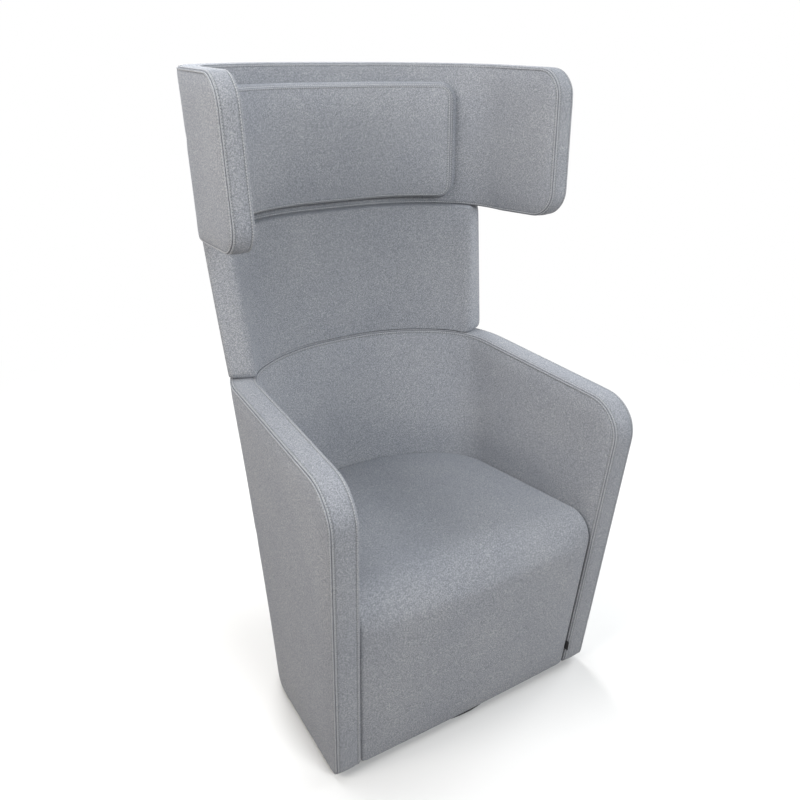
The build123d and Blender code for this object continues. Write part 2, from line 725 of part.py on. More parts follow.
def ball():
    """Bearing ball with 18 flats."""
    return chamfer(Box(*[2 * BALL_RADIUS] * 3).edges(), (2 - math.sqrt(2)) * BALL_RADIUS)


def make_bearing_balls():
    return [Pos(0, 0, BALL_HEIGHT) * spot * ball() for spot in PolarLocations(BALL_CIRCLE, BALL_COUNT)]


def make_ball_cage():
    """Thin ring that keeps the balls apart."""
    low = BALL_HEIGHT - CAGE_THICKNESS / 2
    half = CAGE_WIDTH / 2
    ring = rod(BALL_CIRCLE + half, CAGE_THICKNESS) - drill(BALL_CIRCLE - half, CAGE_THICKNESS)
    window = RegularPolygon(BALL_RADIUS + BALL_PLAY, 8, major_radius=False, rotation=22.5)
    pocket = Pos(0, 0, -CAGE_THICKNESS) * extrude(window, 3 * CAGE_THICKNESS)
    ring = cut_all(ring, [spot * pocket for spot in PolarLocations(BALL_CIRCLE, BALL_COUNT)])
    return Pos(0, 0, low) * ring


def washer_bottom():
    """Underside of the washer, just clear of the bottom board."""
    return BOARD_TOP + FIT


def make_centre_stud():
    """Stud that keeps the chair on its base, its flange welded to the base plate."""
    top = washer_bottom() + WASHER_THICKNESS + STUD_NUT_HEIGHT + STUD_END
    stud = rod(STUD_RADIUS, top - PLATE_TOP) + rod(STUD_FLANGE_RADIUS, STUD_FLANGE_THICKNESS)
    return Pos(0, 0, PLATE_TOP) * stud


def make_centre_bush():
    """Plain bush in the bottom board, in which the stud turns."""
    sleeve = rod(STUD_RADIUS + RUNNING_FIT + BUSH_WALL, BOARD_THICKNESS)
    return Pos(0, 0, BOARD_BOTTOM) * (sleeve - drill(STUD_RADIUS + RUNNING_FIT, BOARD_THICKNESS))


def make_stud_washer():
    ring = rod(WASHER_RADIUS, WASHER_THICKNESS) - drill(STUD_RADIUS + RUNNING_FIT, WASHER_THICKNESS)
    return Pos(0, 0, washer_bottom()) * ring


def make_stud_nut():
    nut = extrude(RegularPolygon(STUD_NUT_RADIUS, 6), STUD_NUT_HEIGHT)
    nut = nut - drill(STUD_RADIUS + RUNNING_FIT, STUD_NUT_HEIGHT)
    return Pos(0, 0, washer_bottom() + WASHER_THICKNESS) * nut


# ---------------------------------------------------------------- seam tab
def make_seam_tab():
    """Small bare tab caught between the apron and the right arm."""
    level = level_at(TUB, TAB_BOTTOM + TAB_HEIGHT / 2)
    x = level.half - ARM_THICKNESS - SEAT_SIDE_GAP / 2
    front = arm_front(TAB_BOTTOM) + SEAT_SETBACK
    tab = block(
        (-TAB_THICKNESS / 2, TAB_THICKNESS / 2), (-TAB_REACH, TAB_REACH), (-TAB_HEIGHT / 2, TAB_HEIGHT / 2)
    )
    flare = math.degrees(math.atan((SHOULDER_HALF_WIDTH - FOOT_HALF_WIDTH) / (SHOULDER_HEIGHT - FLOOR_GAP)))
    return Pos(x, front, TAB_BOTTOM + TAB_HEIGHT / 2) * Rot(0, flare, SIDE_TOE_IN) * tab


def main():
    nodes = {
        "floor_pad": make_floor_pad(),
        "base_plate": make_base_plate(),
        "lower_race": make_race(PLATE_TOP, LOWER_SCREW_CIRCLE),
        "lower_race_screws": make_lower_race_screws(),
        "centre_stud": make_centre_stud(),
        "stud_washer": make_stud_washer(),
        "stud_nut": make_stud_nut(),
        "ball_cage": make_ball_cage(),
        "bearing_balls": make_bearing_balls(),
        "upper_race": make_race(UPPER_RACE_BOTTOM, UPPER_BOLT_CIRCLE),
        "upper_race_bolts": make_upper_race_bolts(),
        "centre_bush": make_centre_bush(),
        "bottom_board": make_bottom_board(),
        "dust_cover": make_dust_cover(),
        "side_rail_left": make_side_rail(-1),
        "side_rail_right": make_side_rail(1),
        "rear_rail": make_rear_rail(),
        "front_rail": make_front_rail(),
        "front_board": make_front_board(),
        "frame_posts": make_posts(),
        "webbing_crosswise": make_webbing_crosswise(),
        "webbing_lengthwise": make_webbing_lengthwise(),
        "seat_upholstery": make_seat_upholstery(),
        "tub_core": make_tub_core(),
        "midback_core": make_midback_core(),
        "shroud_core": make_shroud_core(),
        "spine_straps": make_spine_straps(),
        "spine_screws": strap_screws(0),
        "tub_upholstery": make_tub_upholstery(),
        "midback_upholstery": make_midback_upholstery(),
        "shroud_upholstery": make_shroud_upholstery(),
        "head_pad": make_head_pad(),
        "head_pad_board": make_head_pad_board(),
        "seam_tab": make_seam_tab(),
    }
    os.makedirs("parts", exist_ok=True)
    for name, shape in nodes.items():
        if isinstance(shape, list):
            shape = Compound(children=[solid for piece in shape for solid in piece.solids()])
        export_step(shape, f"parts/{name}.step")


main()
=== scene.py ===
from collections import namedtuple
from functools import partial
import math

import bmesh
import bpy
import numpy as np
from bpy.props import FloatProperty, FloatVectorProperty, PointerProperty
from mathutils import Matrix, Vector
from mathutils.bvhtree import BVHTree


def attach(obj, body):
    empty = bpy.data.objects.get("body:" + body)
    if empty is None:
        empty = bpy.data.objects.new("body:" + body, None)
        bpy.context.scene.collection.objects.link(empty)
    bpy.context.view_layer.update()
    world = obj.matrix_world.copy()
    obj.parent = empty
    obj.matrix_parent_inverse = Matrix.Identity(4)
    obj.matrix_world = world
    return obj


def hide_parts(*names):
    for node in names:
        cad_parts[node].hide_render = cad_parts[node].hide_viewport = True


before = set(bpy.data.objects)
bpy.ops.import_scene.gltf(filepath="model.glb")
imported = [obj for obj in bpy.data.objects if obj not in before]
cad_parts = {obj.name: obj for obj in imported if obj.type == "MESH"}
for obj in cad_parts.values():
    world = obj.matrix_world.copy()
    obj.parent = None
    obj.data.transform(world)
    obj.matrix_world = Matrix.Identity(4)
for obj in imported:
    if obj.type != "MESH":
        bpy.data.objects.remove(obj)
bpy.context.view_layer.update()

bl_info = {
    "name": "Acoustic high back lounge chair",
    "version": (1, 0, 0),
    "blender": (4, 5, 0),
    "location": "3D View > Sidebar > Chair",
    "description": "Covers the frame of an acoustic high back lounge chair in sewn, padded felt",
    "category": "Add Mesh",
}

# -------- the leaning skin, in metres
# The skin runs through four level sections, each with its height, half width and rear.
Level = namedtuple("Level", "z half back")
FOOT = Level(0.020, 0.348, 0.235)
SHOULDER = Level(0.737, 0.379, 0.380)
NECK = Level(1.050, 0.415, 0.412)
CROWN = Level(1.375, 0.427, 0.440)
TUB = (FOOT, SHOULDER)
MIDBACK = (SHOULDER, NECK)
SHROUD = (NECK, CROWN)

CORNER_RADIUS = 0.193           # both rear corners, at every level
BACK_RADIUS = 0.412             # the back is two wide arcs with a short flat between them
BACK_FLAT = 0.008               # half of the shortest flat
BACK_REACH = BACK_RADIUS - CORNER_RADIUS
FOOT_FRONT = 0.260              # front of the foot ahead of the swivel axis
TOE = math.radians(3.1)         # the sides draw together towards the back

ARM_THICKNESS = 0.057
ARM_LEAN = math.radians(2.9)
ARM_FALL = 0.022                # the arm tops fall by this towards the front
ARM_CORNER = 0.084
ARM_TOE = 0.018
SEAM_GAP = 0.0005               # between two covers that stand on each other
HEM_DROP = 0.007                # the padding hangs below the foot of the tub by this
MIDBACK_END = math.radians(18.5)  # ends of the mid back behind the X axis, at its foot
MIDBACK_DRAW = math.radians(10.5)  # they draw back by this towards the shroud
SHROUD_THICKNESS = 0.044
SHROUD_FRONT = 0.008            # wings' low corner behind the swivel axis
SHROUD_FRONT_HEIGHT = 1.060
SHROUD_LEAN = math.radians(4.8)
WING_CORNER = 0.058
PAD_BACK = 0.0443               # depths of the head pad inside the skin
PAD_FACE = 0.0743
PAD_BOTTOM = 1.068
PAD_TOP = 1.335
PAD_END = math.radians(47.5)
PAD_CORNER = 0.048
SEAT_HEIGHT = 0.444
SEAT_FALL = math.radians(4)     # the seat falls towards its rear
SEAT_CROWN = 0.009
SEAT_FRONT_CROWN = 0.004
SEAT_WATERFALL = 0.058
SEAT_INSET = ARM_THICKNESS + 0.0015
SEAT_HEM = 0.019                # height of the apron's hem
SEAT_PADDING = 0.044
CORE_INSET = 0.0153
CORE_THICKNESS = 0.012
TINY = 1e-9
PROUD = 0.004                   # padding in front of the outer faces and front edges
SETTLE = 4                      # rounds in which a place on a leaning skin settles


def corner_x(level, sweep):
    """Middle of the right corner arc from the centre line, where each back arc turns by a sweep."""
    depth = level.back - BACK_RADIUS + BACK_REACH * math.cos(sweep)
    return level.half - CORNER_RADIUS / math.cos(TOE) - (depth + FOOT_FRONT) * math.tan(TOE)


def back_sweep():
    """Angle that leaves the narrowest level the shortest flat."""
    sweep = math.radians(30)  # a first guess, which the rounds improve
    for _ in range(20):
        narrowest = min(corner_x(level, sweep) for level in (FOOT, SHOULDER, NECK, CROWN))
        sweep = math.asin((narrowest - BACK_FLAT) / BACK_REACH)
    return sweep


SWEEP = back_sweep()
TURN = math.pi / 2 - SWEEP


def level_at(stage, z):
    """The section at height z of one stage of the skin."""
    low, high = stage
    share = (z - low.z) / (high.z - low.z)
    return Level(*(a + (b - a) * share for a, b in zip(low, high)))


def corner_centre(level):
    """Middle of the right corner arc."""
    return corner_x(level, SWEEP), level.back - BACK_RADIUS + BACK_REACH * math.cos(SWEEP)


def back_centre(level):
    """Middle of the right back arc."""
    return corner_centre(level)[0] - BACK_REACH * math.sin(SWEEP), level.back - BACK_RADIUS


def arc_start(level, inset=0.0):
    """Where the straight side runs into the corner arc, front to back."""
    return corner_centre(level)[1] + (CORNER_RADIUS - inset) * math.sin(TOE)


def skin_length(level):
    """From the start of the corner arc to the middle of the back, along the outside."""
    arcs = CORNER_RADIUS * (TURN - TOE) + BACK_RADIUS * (math.pi / 2 - TURN)
    return arcs + back_centre(level)[0]


def side_x(level, y, inset):
    """Half width of the straight side at y."""
    run = arc_start(level, inset) - y
    return corner_centre(level)[0] + (CORNER_RADIUS - inset) * math.cos(TOE) + run * math.tan(TOE)


def skin_point(level, along, inset, edge=-1.0):
    """Point on the right half of a section. along is measured on the outside from the start of the
    corner arc, and is below 0 on the straight side, whose front edge is at the given edge."""
    if along <= 0:
        start = arc_start(level, inset)
        y = start + (arc_start(level) + edge - start) * along / min(edge, -TINY)
        return side_x(level, y, inset), y
    turn = TOE + along / CORNER_RADIUS
    if turn <= TURN:
        x, y = corner_centre(level)
        radius = CORNER_RADIUS - inset
        return x + radius * math.cos(turn), y + radius * math.sin(turn)
    along -= (TURN - TOE) * CORNER_RADIUS
    x, y = back_centre(level)
    turn = TURN + along / BACK_RADIUS
    if turn <= math.pi / 2:
        radius = BACK_RADIUS - inset
        return x + radius * math.cos(turn), y + radius * math.sin(turn)
    along -= (math.pi / 2 - TURN) * BACK_RADIUS
    return max(x - along, 0.0), level.back - inset


def skin_depth(level, x, y):
    """How far a point lies inside the skin of a section, and the level way out from there."""
    side = -1 if x < 0 else 1
    corner = corner_centre(level)
    dx, dy = abs(x) - corner[0], y - corner[1]
    turn = math.atan2(dy, dx)
    if -math.pi / 2 <= turn <= TOE or (dx < 0 and dy < 0):
        out = (math.cos(TOE), math.sin(TOE))
        return CORNER_RADIUS - dx * out[0] - dy * out[1], (side * out[0], out[1])
    if turn <= TURN:
        reach = math.hypot(dx, dy)
        return CORNER_RADIUS - reach, (side * dx / reach, dy / reach)
    middle = back_centre(level)
    if abs(x) <= middle[0]:
        return level.back - y, (0.0, 1.0)
    dx, dy = abs(x) - middle[0], y - middle[1]
    reach = math.hypot(dx, dy)
    return BACK_RADIUS - reach, (side * dx / reach, dy / reach)


# -------- outlines of the bands
def arm_front(z):
    return -FOOT_FRONT - (z - FOOT.z) * math.tan(ARM_LEAN)


def wing_front(z):
    return SHROUD_FRONT + (z - SHROUD_FRONT_HEIGHT) * math.tan(SHROUD_LEAN)


def arm_top(level, along):
    """The top of the arms falls towards the front."""
    bend = corner_centre(SHOULDER)[1]
    ahead = max(0.0, bend - arc_start(level) - along)
    return SHOULDER.z - ARM_FALL * ahead / (bend - arm_front(SHOULDER.z - ARM_FALL))


def wing_bottom(level, along):
    """The lower edge of the wings rises towards the front."""
    bend = corner_centre(NECK)[1]
    low = NECK.z + SEAM_GAP
    ahead = max(0.0, bend - arc_start(level) - along)
    return low + (SHROUD_FRONT_HEIGHT - low) * ahead / (bend - wing_front(SHROUD_FRONT_HEIGHT))


def midback_end(_, z):
    """The ends of the mid back lie further round the corners towards the shroud."""
    share = (z - SHOULDER.z) / (NECK.z - SHOULDER.z)
    return CORNER_RADIUS * (MIDBACK_END + MIDBACK_DRAW * share - TOE)


# A band starts at an edge along the skin and lies between a low and a top line, with corners of
# their radius. Its rings draw in from both lines by a pull times their margin, and its span is
# about its (width, height), from which its columns and rows are counted.
Band = namedtuple("Band", "stage edge low top low_corner top_corner low_pull top_pull span")
TUB_BAND = Band(
    stage=TUB, edge=lambda level, z: arm_front(z) - PROUD - arc_start(level),
    low=lambda *_: FOOT.z - HEM_DROP, top=arm_top,
    low_corner=ARM_TOE, top_corner=ARM_CORNER, low_pull=0.4, top_pull=1.0, span=(1.62, 0.70),
)
MIDBACK_BAND = Band(
    stage=MIDBACK, edge=midback_end,
    low=lambda *_: SHOULDER.z + SEAM_GAP, top=lambda *_: NECK.z,
    low_corner=0.020, top_corner=0.010, low_pull=0.25, top_pull=0.25, span=(1.05, 0.31),
)
CORE_BAND = MIDBACK_BAND._replace(low_pull=1.0, top_pull=1.0, span=(1.0, 0.26))
SHROUD_BAND = Band(
    stage=SHROUD, edge=lambda level, z: wing_front(z) - PROUD - arc_start(level),
    low=wing_bottom, top=lambda *_: CROWN.z,
    low_corner=WING_CORNER, top_corner=WING_CORNER, low_pull=1.0, top_pull=1.0, span=(1.60, 0.31),
)
PAD_BAND = Band(
    stage=SHROUD, edge=lambda *_: CORNER_RADIUS * (PAD_END - TOE),
    low=lambda *_: PAD_BOTTOM, top=lambda *_: PAD_TOP,
    low_corner=PAD_CORNER, top_corner=PAD_CORNER, low_pull=0.45, top_pull=0.45, span=(0.64, 0.267),
)
SEAT_SPAN = (0.60, 0.98)


def round_off(x, depth, margin, pull, radius):
    """Moves a point near a sheet's corner, so that rows and columns follow a rounded corner."""
    radius -= max(margin, pull)
    if radius <= 0:
        return x, depth
    a = 1 - (x - margin) / radius
    b = 1 - (depth - pull) / radius
    if a <= 0 or b <= 0:
        return x, depth
    a, b = min(a, 1.0), min(b, 1.0)
    return (
        margin + radius * (1 - a * math.sqrt(1 - b * b / 2)),
        pull + radius * (1 - b * math.sqrt(1 - a * a / 2)),
    )


def on_band(band, across, up, margin, inset):
    """Point on a band. across runs from -1 to 1 and up from 0 to 1, inside the outline drawn in by
    a margin, at an inset from the skin."""
    z = (band.stage[0].z + band.stage[1].z) / 2
    along = 0.0
    for _ in range(SETTLE):
        level = level_at(band.stage, z)
        edge = band.edge(level, z)
        x = margin + (1 - abs(across)) * (skin_length(level) - edge - margin)
        low, top = band.low(level, edge + x), band.top(level, edge + x)
        fall, rise = margin * band.top_pull, margin * band.low_pull
        depth = fall + (1 - up) * (top - low - fall - rise)
        x, depth = round_off(x, depth, margin, fall, band.top_corner)
        x, height = round_off(x, top - low - depth, margin, rise, band.low_corner)
        along = edge + x
        z = low + height
    x, y = skin_point(level_at(band.stage, z), along, inset, edge)
    return Vector((-x if across < 0 else x, y, z))


# -------- the seat in side view
def seat_profile():
    """The side view: the ways up and back, the hem, the waterfall's start, end, middle and turn."""
    up = Vector((-math.sin(ARM_LEAN), math.cos(ARM_LEAN)))
    back = Vector((math.cos(SEAT_FALL), -math.sin(SEAT_FALL)))
    hem = Vector((arm_front(SEAT_HEM), SEAT_HEM))
    brow = Vector((arm_front(SEAT_HEIGHT), SEAT_HEIGHT))
    turn = math.pi / 2 + ARM_LEAN + SEAT_FALL
    reach = SEAT_WATERFALL * math.tan(turn / 2)
    start, end = brow - up * reach, brow + back * reach
    middle = start + Vector((up.y, -up.x)) * SEAT_WATERFALL
    return up, back, hem, start, end, middle, turn


UP, BACK, HEM, FALL_START, FALL_END, FALL_MIDDLE, FALL_TURN = seat_profile()
FRONT_LENGTH = (FALL_START - HEM).length
TOP_START = FRONT_LENGTH + SEAT_WATERFALL * FALL_TURN


def seat_line(length):
    """Point and outward normal of the seat's side view at a length from the hem, over the front."""
    if length <= FRONT_LENGTH:
        return HEM + UP * length, Vector((-UP.y, UP.x))
    if length < TOP_START:
        turn = (length - FRONT_LENGTH) / SEAT_WATERFALL
        start = -Vector((UP.y, -UP.x))
        normal = Vector((
            start.x * math.cos(turn) + start.y * math.sin(turn),
            start.y * math.cos(turn) - start.x * math.sin(turn),
        ))
        return FALL_MIDDLE + normal * SEAT_WATERFALL, normal
    return FALL_END + BACK * (length - TOP_START), Vector((-BACK.y, BACK.x))


def seat_length(y):
    """Length at which the top of the seat is at y."""
    return TOP_START + (y - FALL_END.x) / BACK.x


def seat_level(y):
    return level_at(TUB, seat_line(seat_length(y))[0].y)


SEAT_SPLIT = CORNER_RADIUS * (math.radians(24) - TOE)  # the seat's side becomes its rear here
SEAT_MIDDLE = 0.2               # a y on the rear half of the seat
SEAT_HEM_PULL = 0.4             # the hem draws in by this share of the margin


def seat_curve(along, inset):
    """Point (x, length) on the curved rear of the seat's outline."""
    y = SEAT_MIDDLE
    for _ in range(SETTLE):
        x, y = skin_point(seat_level(y), along, inset)
    return Vector((x, seat_length(y)))


def seat_side(share, inset, hem):
    """Point (x, length) on the right side of the seat's outline, from the hem to the split."""
    start = SEAT_MIDDLE / 2
    for _ in range(SETTLE):
        start = arc_start(seat_level(start), inset)
    straight = seat_length(start)
    bend = SEAT_SPLIT * (CORNER_RADIUS - inset) / CORNER_RADIUS
    length = hem + share * (straight + bend - hem)
    if length > straight:
        return seat_curve((length - straight) * CORNER_RADIUS / (CORNER_RADIUS - inset), inset)
    place = seat_line(length)[0]
    return Vector((side_x(level_at(TUB, place.y), place.x, inset), length))


def on_seat(across, up, margin, depth):
    """Point on the seat cover, at a depth below its face. up runs from the hem over the front to
    the rear."""
    inset = SEAT_INSET + margin
    side = seat_side(up, inset, margin * SEAT_HEM_PULL)
    span = skin_length(seat_level(SEAT_MIDDLE)) - SEAT_SPLIT
    rear = seat_curve(SEAT_SPLIT + (1 - abs(across)) * span, inset)
    corner = seat_curve(SEAT_SPLIT, inset)
    x = abs(across) * (side.x - up * corner.x) + up * rear.x
    length = side.y + up * (rear.y - corner.y)
    place, normal = seat_line(length)
    crown = 1 - (x / FOOT.half) ** 2
    y = place.x - SEAT_FRONT_CROWN * crown * max(0.0, -normal.x) - normal.x * depth
    z = place.y + SEAT_CROWN * crown * max(0.0, normal.y) - normal.y * depth
    found, out = skin_depth(level_at(TUB, z), x, y)
    if found < SEAT_INSET:
        x -= out[0] * (SEAT_INSET - found)
        y -= out[1] * (SEAT_INSET - found)
    return Vector((-x if across < 0 else x, y, z))


# -------- building covers
CLOTH_FRAMES = 20
CLOTH_PRESSURE = 4
CLOTH_QUALITY = 4
SEAM_TURN = math.radians(52)    # the seams lie a little on the rim's side of the edge
SEAM_RING = 4                   # place of the seam among the rings of a sewn edge
SEAM_PAINTED_SHADING = (1.0, -0.8, -0.8, 0.6)  # painted shade in a groove or, below 0, painted highlight on a ridge, by rings away from a seam
RIDGE_PART = 6                  # a seam's ridges stand out by its depth divided by this
RIM_BULGE = 0.0015              # the middle of a band's rim stands out by this
ALLOWANCE = -0.009              # inset of the farthest that padding may stand out
SOFT = 1.5                      # the seat and the head pad may swell this many times as far
THREAD_SEAT = 0.3               # a stitch's middle above the felt, in thread radii

Cover = namedtuple("Cover", "piece held place columns rows")


def unselect():
    if bpy.context.object and bpy.context.object.mode != "OBJECT":
        bpy.ops.object.mode_set(mode="OBJECT")
    bpy.ops.object.select_all(action="DESELECT")


def take(piece):
    """Makes one piece the only selected and active one."""
    unselect()
    piece.select_set(True)
    bpy.context.view_layer.objects.active = piece


def linked(name, verts, faces):
    """A new piece with its mesh."""
    mesh = bpy.data.meshes.new(name)
    mesh.from_pydata([tuple(v) for v in verts], [], faces)
    piece = bpy.data.objects.new(name, mesh)
    bpy.context.collection.objects.link(piece)
    return piece


def counts(span):
    """Even number of columns, and number of rows, for a sheet of a (width, height)."""
    step = bpy.context.scene.chair_sizes.mesh_step
    return 2 * round(span[0] / step / 2), round(span[1] / step)


def cover_mesh(name, place, span, rings, seam_rings=()):
    """Closed cover from two sheets and the rings round their edge. place gives a point from
    (across, up, margin, inset). The first ring bounds the first sheet, the last ring the other."""
    columns, rows = counts(span)
    verts, faces, rims = [], [], []
    grid = [(i, j) for j in range(rows + 1) for i in range(columns + 1)]
    loop = [(i, 0) for i in range(columns)] + [(columns, j) for j in range(rows)]
    loop += [(i, rows) for i in range(columns, 0, -1)] + [(0, j) for j in range(rows, 0, -1)]

    def lay(spots, ring):
        """Adds a point at each (column, row), and gives their numbers."""
        start = len(verts)
        verts.extend(place(2 * i / columns - 1, j / rows, *ring) for i, j in spots)
        return {spot: start + k for k, spot in enumerate(spots)}

    for turn, ring in ((1, rings[0]), (-1, rings[-1])):
        number = lay(grid, ring)
        for i, j in grid:
            if i < columns and j < rows:
                quad = ((i, j), (i + 1, j), (i + 1, j + 1), (i, j + 1))[::turn]
                faces.append([number[spot] for spot in quad])
        rims.append([number[spot] for spot in loop])
    chain = [rims[0]] + [list(lay(loop, ring).values()) for ring in rings[1:-1]] + [rims[1]]
    for near, far in zip(chain, chain[1:]):
        for k in range(len(loop)):
            n = (k + 1) % len(loop)
            faces.append((near[k], far[k], far[n], near[n]))
    piece = linked(name, verts, faces)
    mesh = piece.data
    shell = bmesh.new()
    shell.from_mesh(mesh)
    bmesh.ops.recalc_face_normals(shell, faces=shell.faces[:])
    shell.to_mesh(mesh)
    shell.free()
    # seam attribute: painted shade in the groove and stitch valleys, painted highlight on the
    # ridges
    values = np.zeros(len(mesh.vertices), np.float32)
    for index in seam_rings:
        for step, mark in enumerate(SEAM_PAINTED_SHADING):
            values[chain[index - step]] = values[chain[index + step]] = mark
    mesh.attributes.new("seam", "FLOAT", "POINT").data.foreach_set("value", values)
    held = [index for ring in chain[1:-1] for index in ring]
    return Cover(piece, held, place, columns, rows)


def band_cover(name, band, rings, seam_rings=()):
    """A band's cover before it is stuffed."""
    return cover_mesh(name, partial(on_band, band), band.span, rings, seam_rings)


def coordinates(piece):
    """The piece's points as rows of an array."""
    points = np.empty(len(piece.data.vertices) * 3)
    piece.data.vertices.foreach_get("co", points)
    return points.reshape(-1, 3)


def deeper(cover, stage, depth):
    """Which points of a cover lie more than a depth inside the skin."""
    points = coordinates(cover.piece)
    return np.array([skin_depth(level_at(stage, z), x, y)[0] > depth for x, y, z in points])


def smooth_step(value, start, end):
    share = np.clip((value - start) / (end - start), 0, 1)
    return share * share * (3 - 2 * share)


def plump(cover, reach, give):
    """Blows a cover up like stuffed cloth between its held seams, by no more than its reach times
    its give, which is a number for each point."""
    piece = cover.piece
    before = coordinates(piece)
    take(piece)
    group = piece.vertex_groups.new(name="held")
    group.add(cover.held, 1.0, "REPLACE")
    bpy.ops.object.modifier_add(type="CLOTH")
    cloth = piece.modifiers[-1]
    settings = cloth.settings
    settings.quality = CLOTH_QUALITY
    settings.use_pressure = True
    settings.uniform_pressure_force = CLOTH_PRESSURE
    settings.vertex_group_mass = group.name
    settings.effector_weights.gravity = 0
    cloth.collision_settings.use_collision = False
    cloth.point_cache.frame_start, cloth.point_cache.frame_end = 1, CLOTH_FRAMES
    for number in range(1, CLOTH_FRAMES + 1):
        bpy.context.scene.frame_set(number)
    bpy.ops.object.modifier_apply(modifier=cloth.name)
    bpy.context.scene.frame_set(1)
    piece.vertex_groups.remove(piece.vertex_groups["held"])
    move = coordinates(piece) - before
    far = np.linalg.norm(move, axis=1)
    allowed = reach * give
    capped = allowed * np.tanh(far / np.maximum(allowed, TINY)) / np.maximum(far, TINY)
    scale = np.where(far > TINY, capped, 0)
    piece.data.vertices.foreach_set("co", (before + move * scale[:, None]).ravel())


def confine(cover, stage, least, most, low, high):
    """Keeps the points of a cover between two insets of the skin and two heights."""
    for vert in cover.piece.data.vertices:
        x, y, z = vert.co
        z = min(max(z, low), high)
        depth, out = skin_depth(level_at(stage, z), x, y)
        push = min(0.0, depth - least) + max(0.0, depth - most)
        vert.co = (x + out[0] * push, y + out[1] * push, z)


def finish_cover(piece, node):
    """Smooths a cover, dresses it in felt and lets it stand for its solid."""
    take(piece)
    bpy.ops.object.modifier_add(type="SUBSURF")
    subdivide = piece.modifiers[-1]
    subdivide.levels = subdivide.render_levels = 1
    bpy.ops.object.modifier_apply(modifier=subdivide.name)
    bpy.ops.object.shade_smooth()
    piece.data.materials.append(bpy.data.materials["heathered_felt"])
    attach(piece, "chair")
    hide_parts(node)


def round_edge(radius, turn, sunk=0.0):
    """(margin, inset) on a rounded edge, where turn is 0 at the face and a quarter turn at the rim.
    Outside these it runs on along the face or the rim."""
    if turn < 0:
        return radius * (1 - turn), 0.0
    if turn > math.pi / 2:
        return sunk, radius * (1 + turn - math.pi / 2)
    reach = radius - sunk
    return radius - reach * math.sin(turn), radius - reach * math.cos(turn)


def quarter(radius, steps):
    """Rings of a rounded edge without a seam."""
    return [round_edge(radius, math.pi / 2 * k / steps) for k in range(steps + 1)]


def sewn_quarter(sizes):
    """Rings of a rounded edge with a sewn seam, ridges beside it, and a shallow valley under each
    row of stitches."""
    radius = sizes.edge_radius
    half = sizes.seam_width / 2 / radius
    row = sizes.stitch_offset / radius
    bank = (row + half) / 2
    ridge = -sizes.seam_depth / RIDGE_PART
    steps = (
        (-row, sizes.row_depth), (-bank, ridge), (-half, ridge), (0.0, sizes.seam_depth),
        (half, ridge), (bank, ridge), (row, sizes.row_depth), (2 * row - bank, 0.0),
    )
    return [round_edge(radius, 0.0)] + [
        round_edge(radius, SEAM_TURN + step, sunk) for step, sunk in steps
    ]


def band_rings(outer, inner, sizes):
    """Rings of a band with rounded, sewn edges on both faces, and the places of the seam rings."""
    near = sewn_quarter(sizes)
    middle = [(-RIM_BULGE, (inner - outer) / 2)]
    far = [(m, inner - outer - d) for m, d in reversed(near)]
    rings = [(m, outer + d) for m, d in near + middle + far]
    return rings, (SEAM_RING, len(rings) - 1 - SEAM_RING)


# -------- stitching
def rim_path(cover, margin, inset, hem=True):
    """Points along the edge of a cover, all round or without its hem."""
    columns, rows = cover.columns, cover.rows
    loop = [(2 * i / columns - 1, 0.0) for i in range(columns)]
    loop += [(1.0, j / rows) for j in range(rows)]
    loop += [(1 - 2 * i / columns, 1.0) for i in range(columns)]
    loop += [(-1.0, 1 - j / rows) for j in range(rows)]
    points = [cover.place(across, up, margin, inset) for across, up in loop if hem or up > 0]
    return points + points[:1] if hem else points


def both_rows(cover, outer, inner, sizes, hem=True):
    """Rows of stitches on each side of the seams of a band."""
    rows = []
    step = sizes.stitch_offset / sizes.edge_radius
    for turn in (SEAM_TURN - step, SEAM_TURN + step):
        margin, depth = round_edge(sizes.edge_radius, turn)
        rows += [rim_path(cover, margin, inset, hem) for inset in (outer + depth, inner - depth)]
    return rows


def spaced(points, pitch):
    """Evenly spaced places and directions along a path of points."""
    points = np.array([tuple(p) for p in points])
    steps = np.linalg.norm(np.diff(points, axis=0), axis=1)
    reach = np.concatenate([[0.0], np.cumsum(steps)])
    count = max(2, int(reach[-1] / pitch))
    at = (np.arange(count) + 0.5) * reach[-1] / count

    def found(wanted):
        return np.stack([np.interp(wanted, reach, points[:, k]) for k in range(3)], axis=1)

    return found(at), found(at + pitch / 2) - found(at - pitch / 2)


def one_stitch(sizes):
    """A stitch: a short thick thread, tapered where it goes into the cloth."""
    unselect()
    bpy.ops.mesh.primitive_uv_sphere_add(
        segments=5, ring_count=4, radius=1.0, rotation=(0, math.pi / 2, 0))
    thread = bpy.context.object
    bpy.ops.object.transform_apply(rotation=True)
    thread.scale = (sizes.stitch_length / 2, sizes.thread_radius, sizes.thread_radius)
    bpy.ops.object.transform_apply(scale=True)
    points = coordinates(thread)
    faces = [tuple(p.vertices) for p in thread.data.polygons]
    bpy.data.objects.remove(thread)
    return points, faces


def stitch_rows(name, cover, paths, sizes):
    """Sews rows of stitches onto the finished surface of a cover."""
    base, base_faces = one_stitch(sizes)
    felt = cover.piece.data
    tree = BVHTree.FromPolygons(
        [v.co for v in felt.vertices], [tuple(p.vertices) for p in felt.polygons])
    verts, faces = [], []
    for path in paths:
        for spot, way in zip(*spaced(path, sizes.stitch_pitch)):
            hit, normal, _, _ = tree.find_nearest(Vector(spot))
            way = Vector(way)
            way = (way - normal * way.dot(normal)).normalized()
            turn = np.array([way, normal.cross(way), normal]).T
            start = len(verts)
            place = np.array(hit) + np.array(normal) * sizes.thread_radius * THREAD_SEAT
            verts.extend(base @ turn.T + place)
            faces.extend(tuple(start + k for k in face) for face in base_faces)
    rows = linked(name, verts, faces)
    take(rows)
    bpy.ops.object.shade_smooth()
    rows.data.materials.append(bpy.data.materials["sewing_thread"])
    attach(rows, "chair")


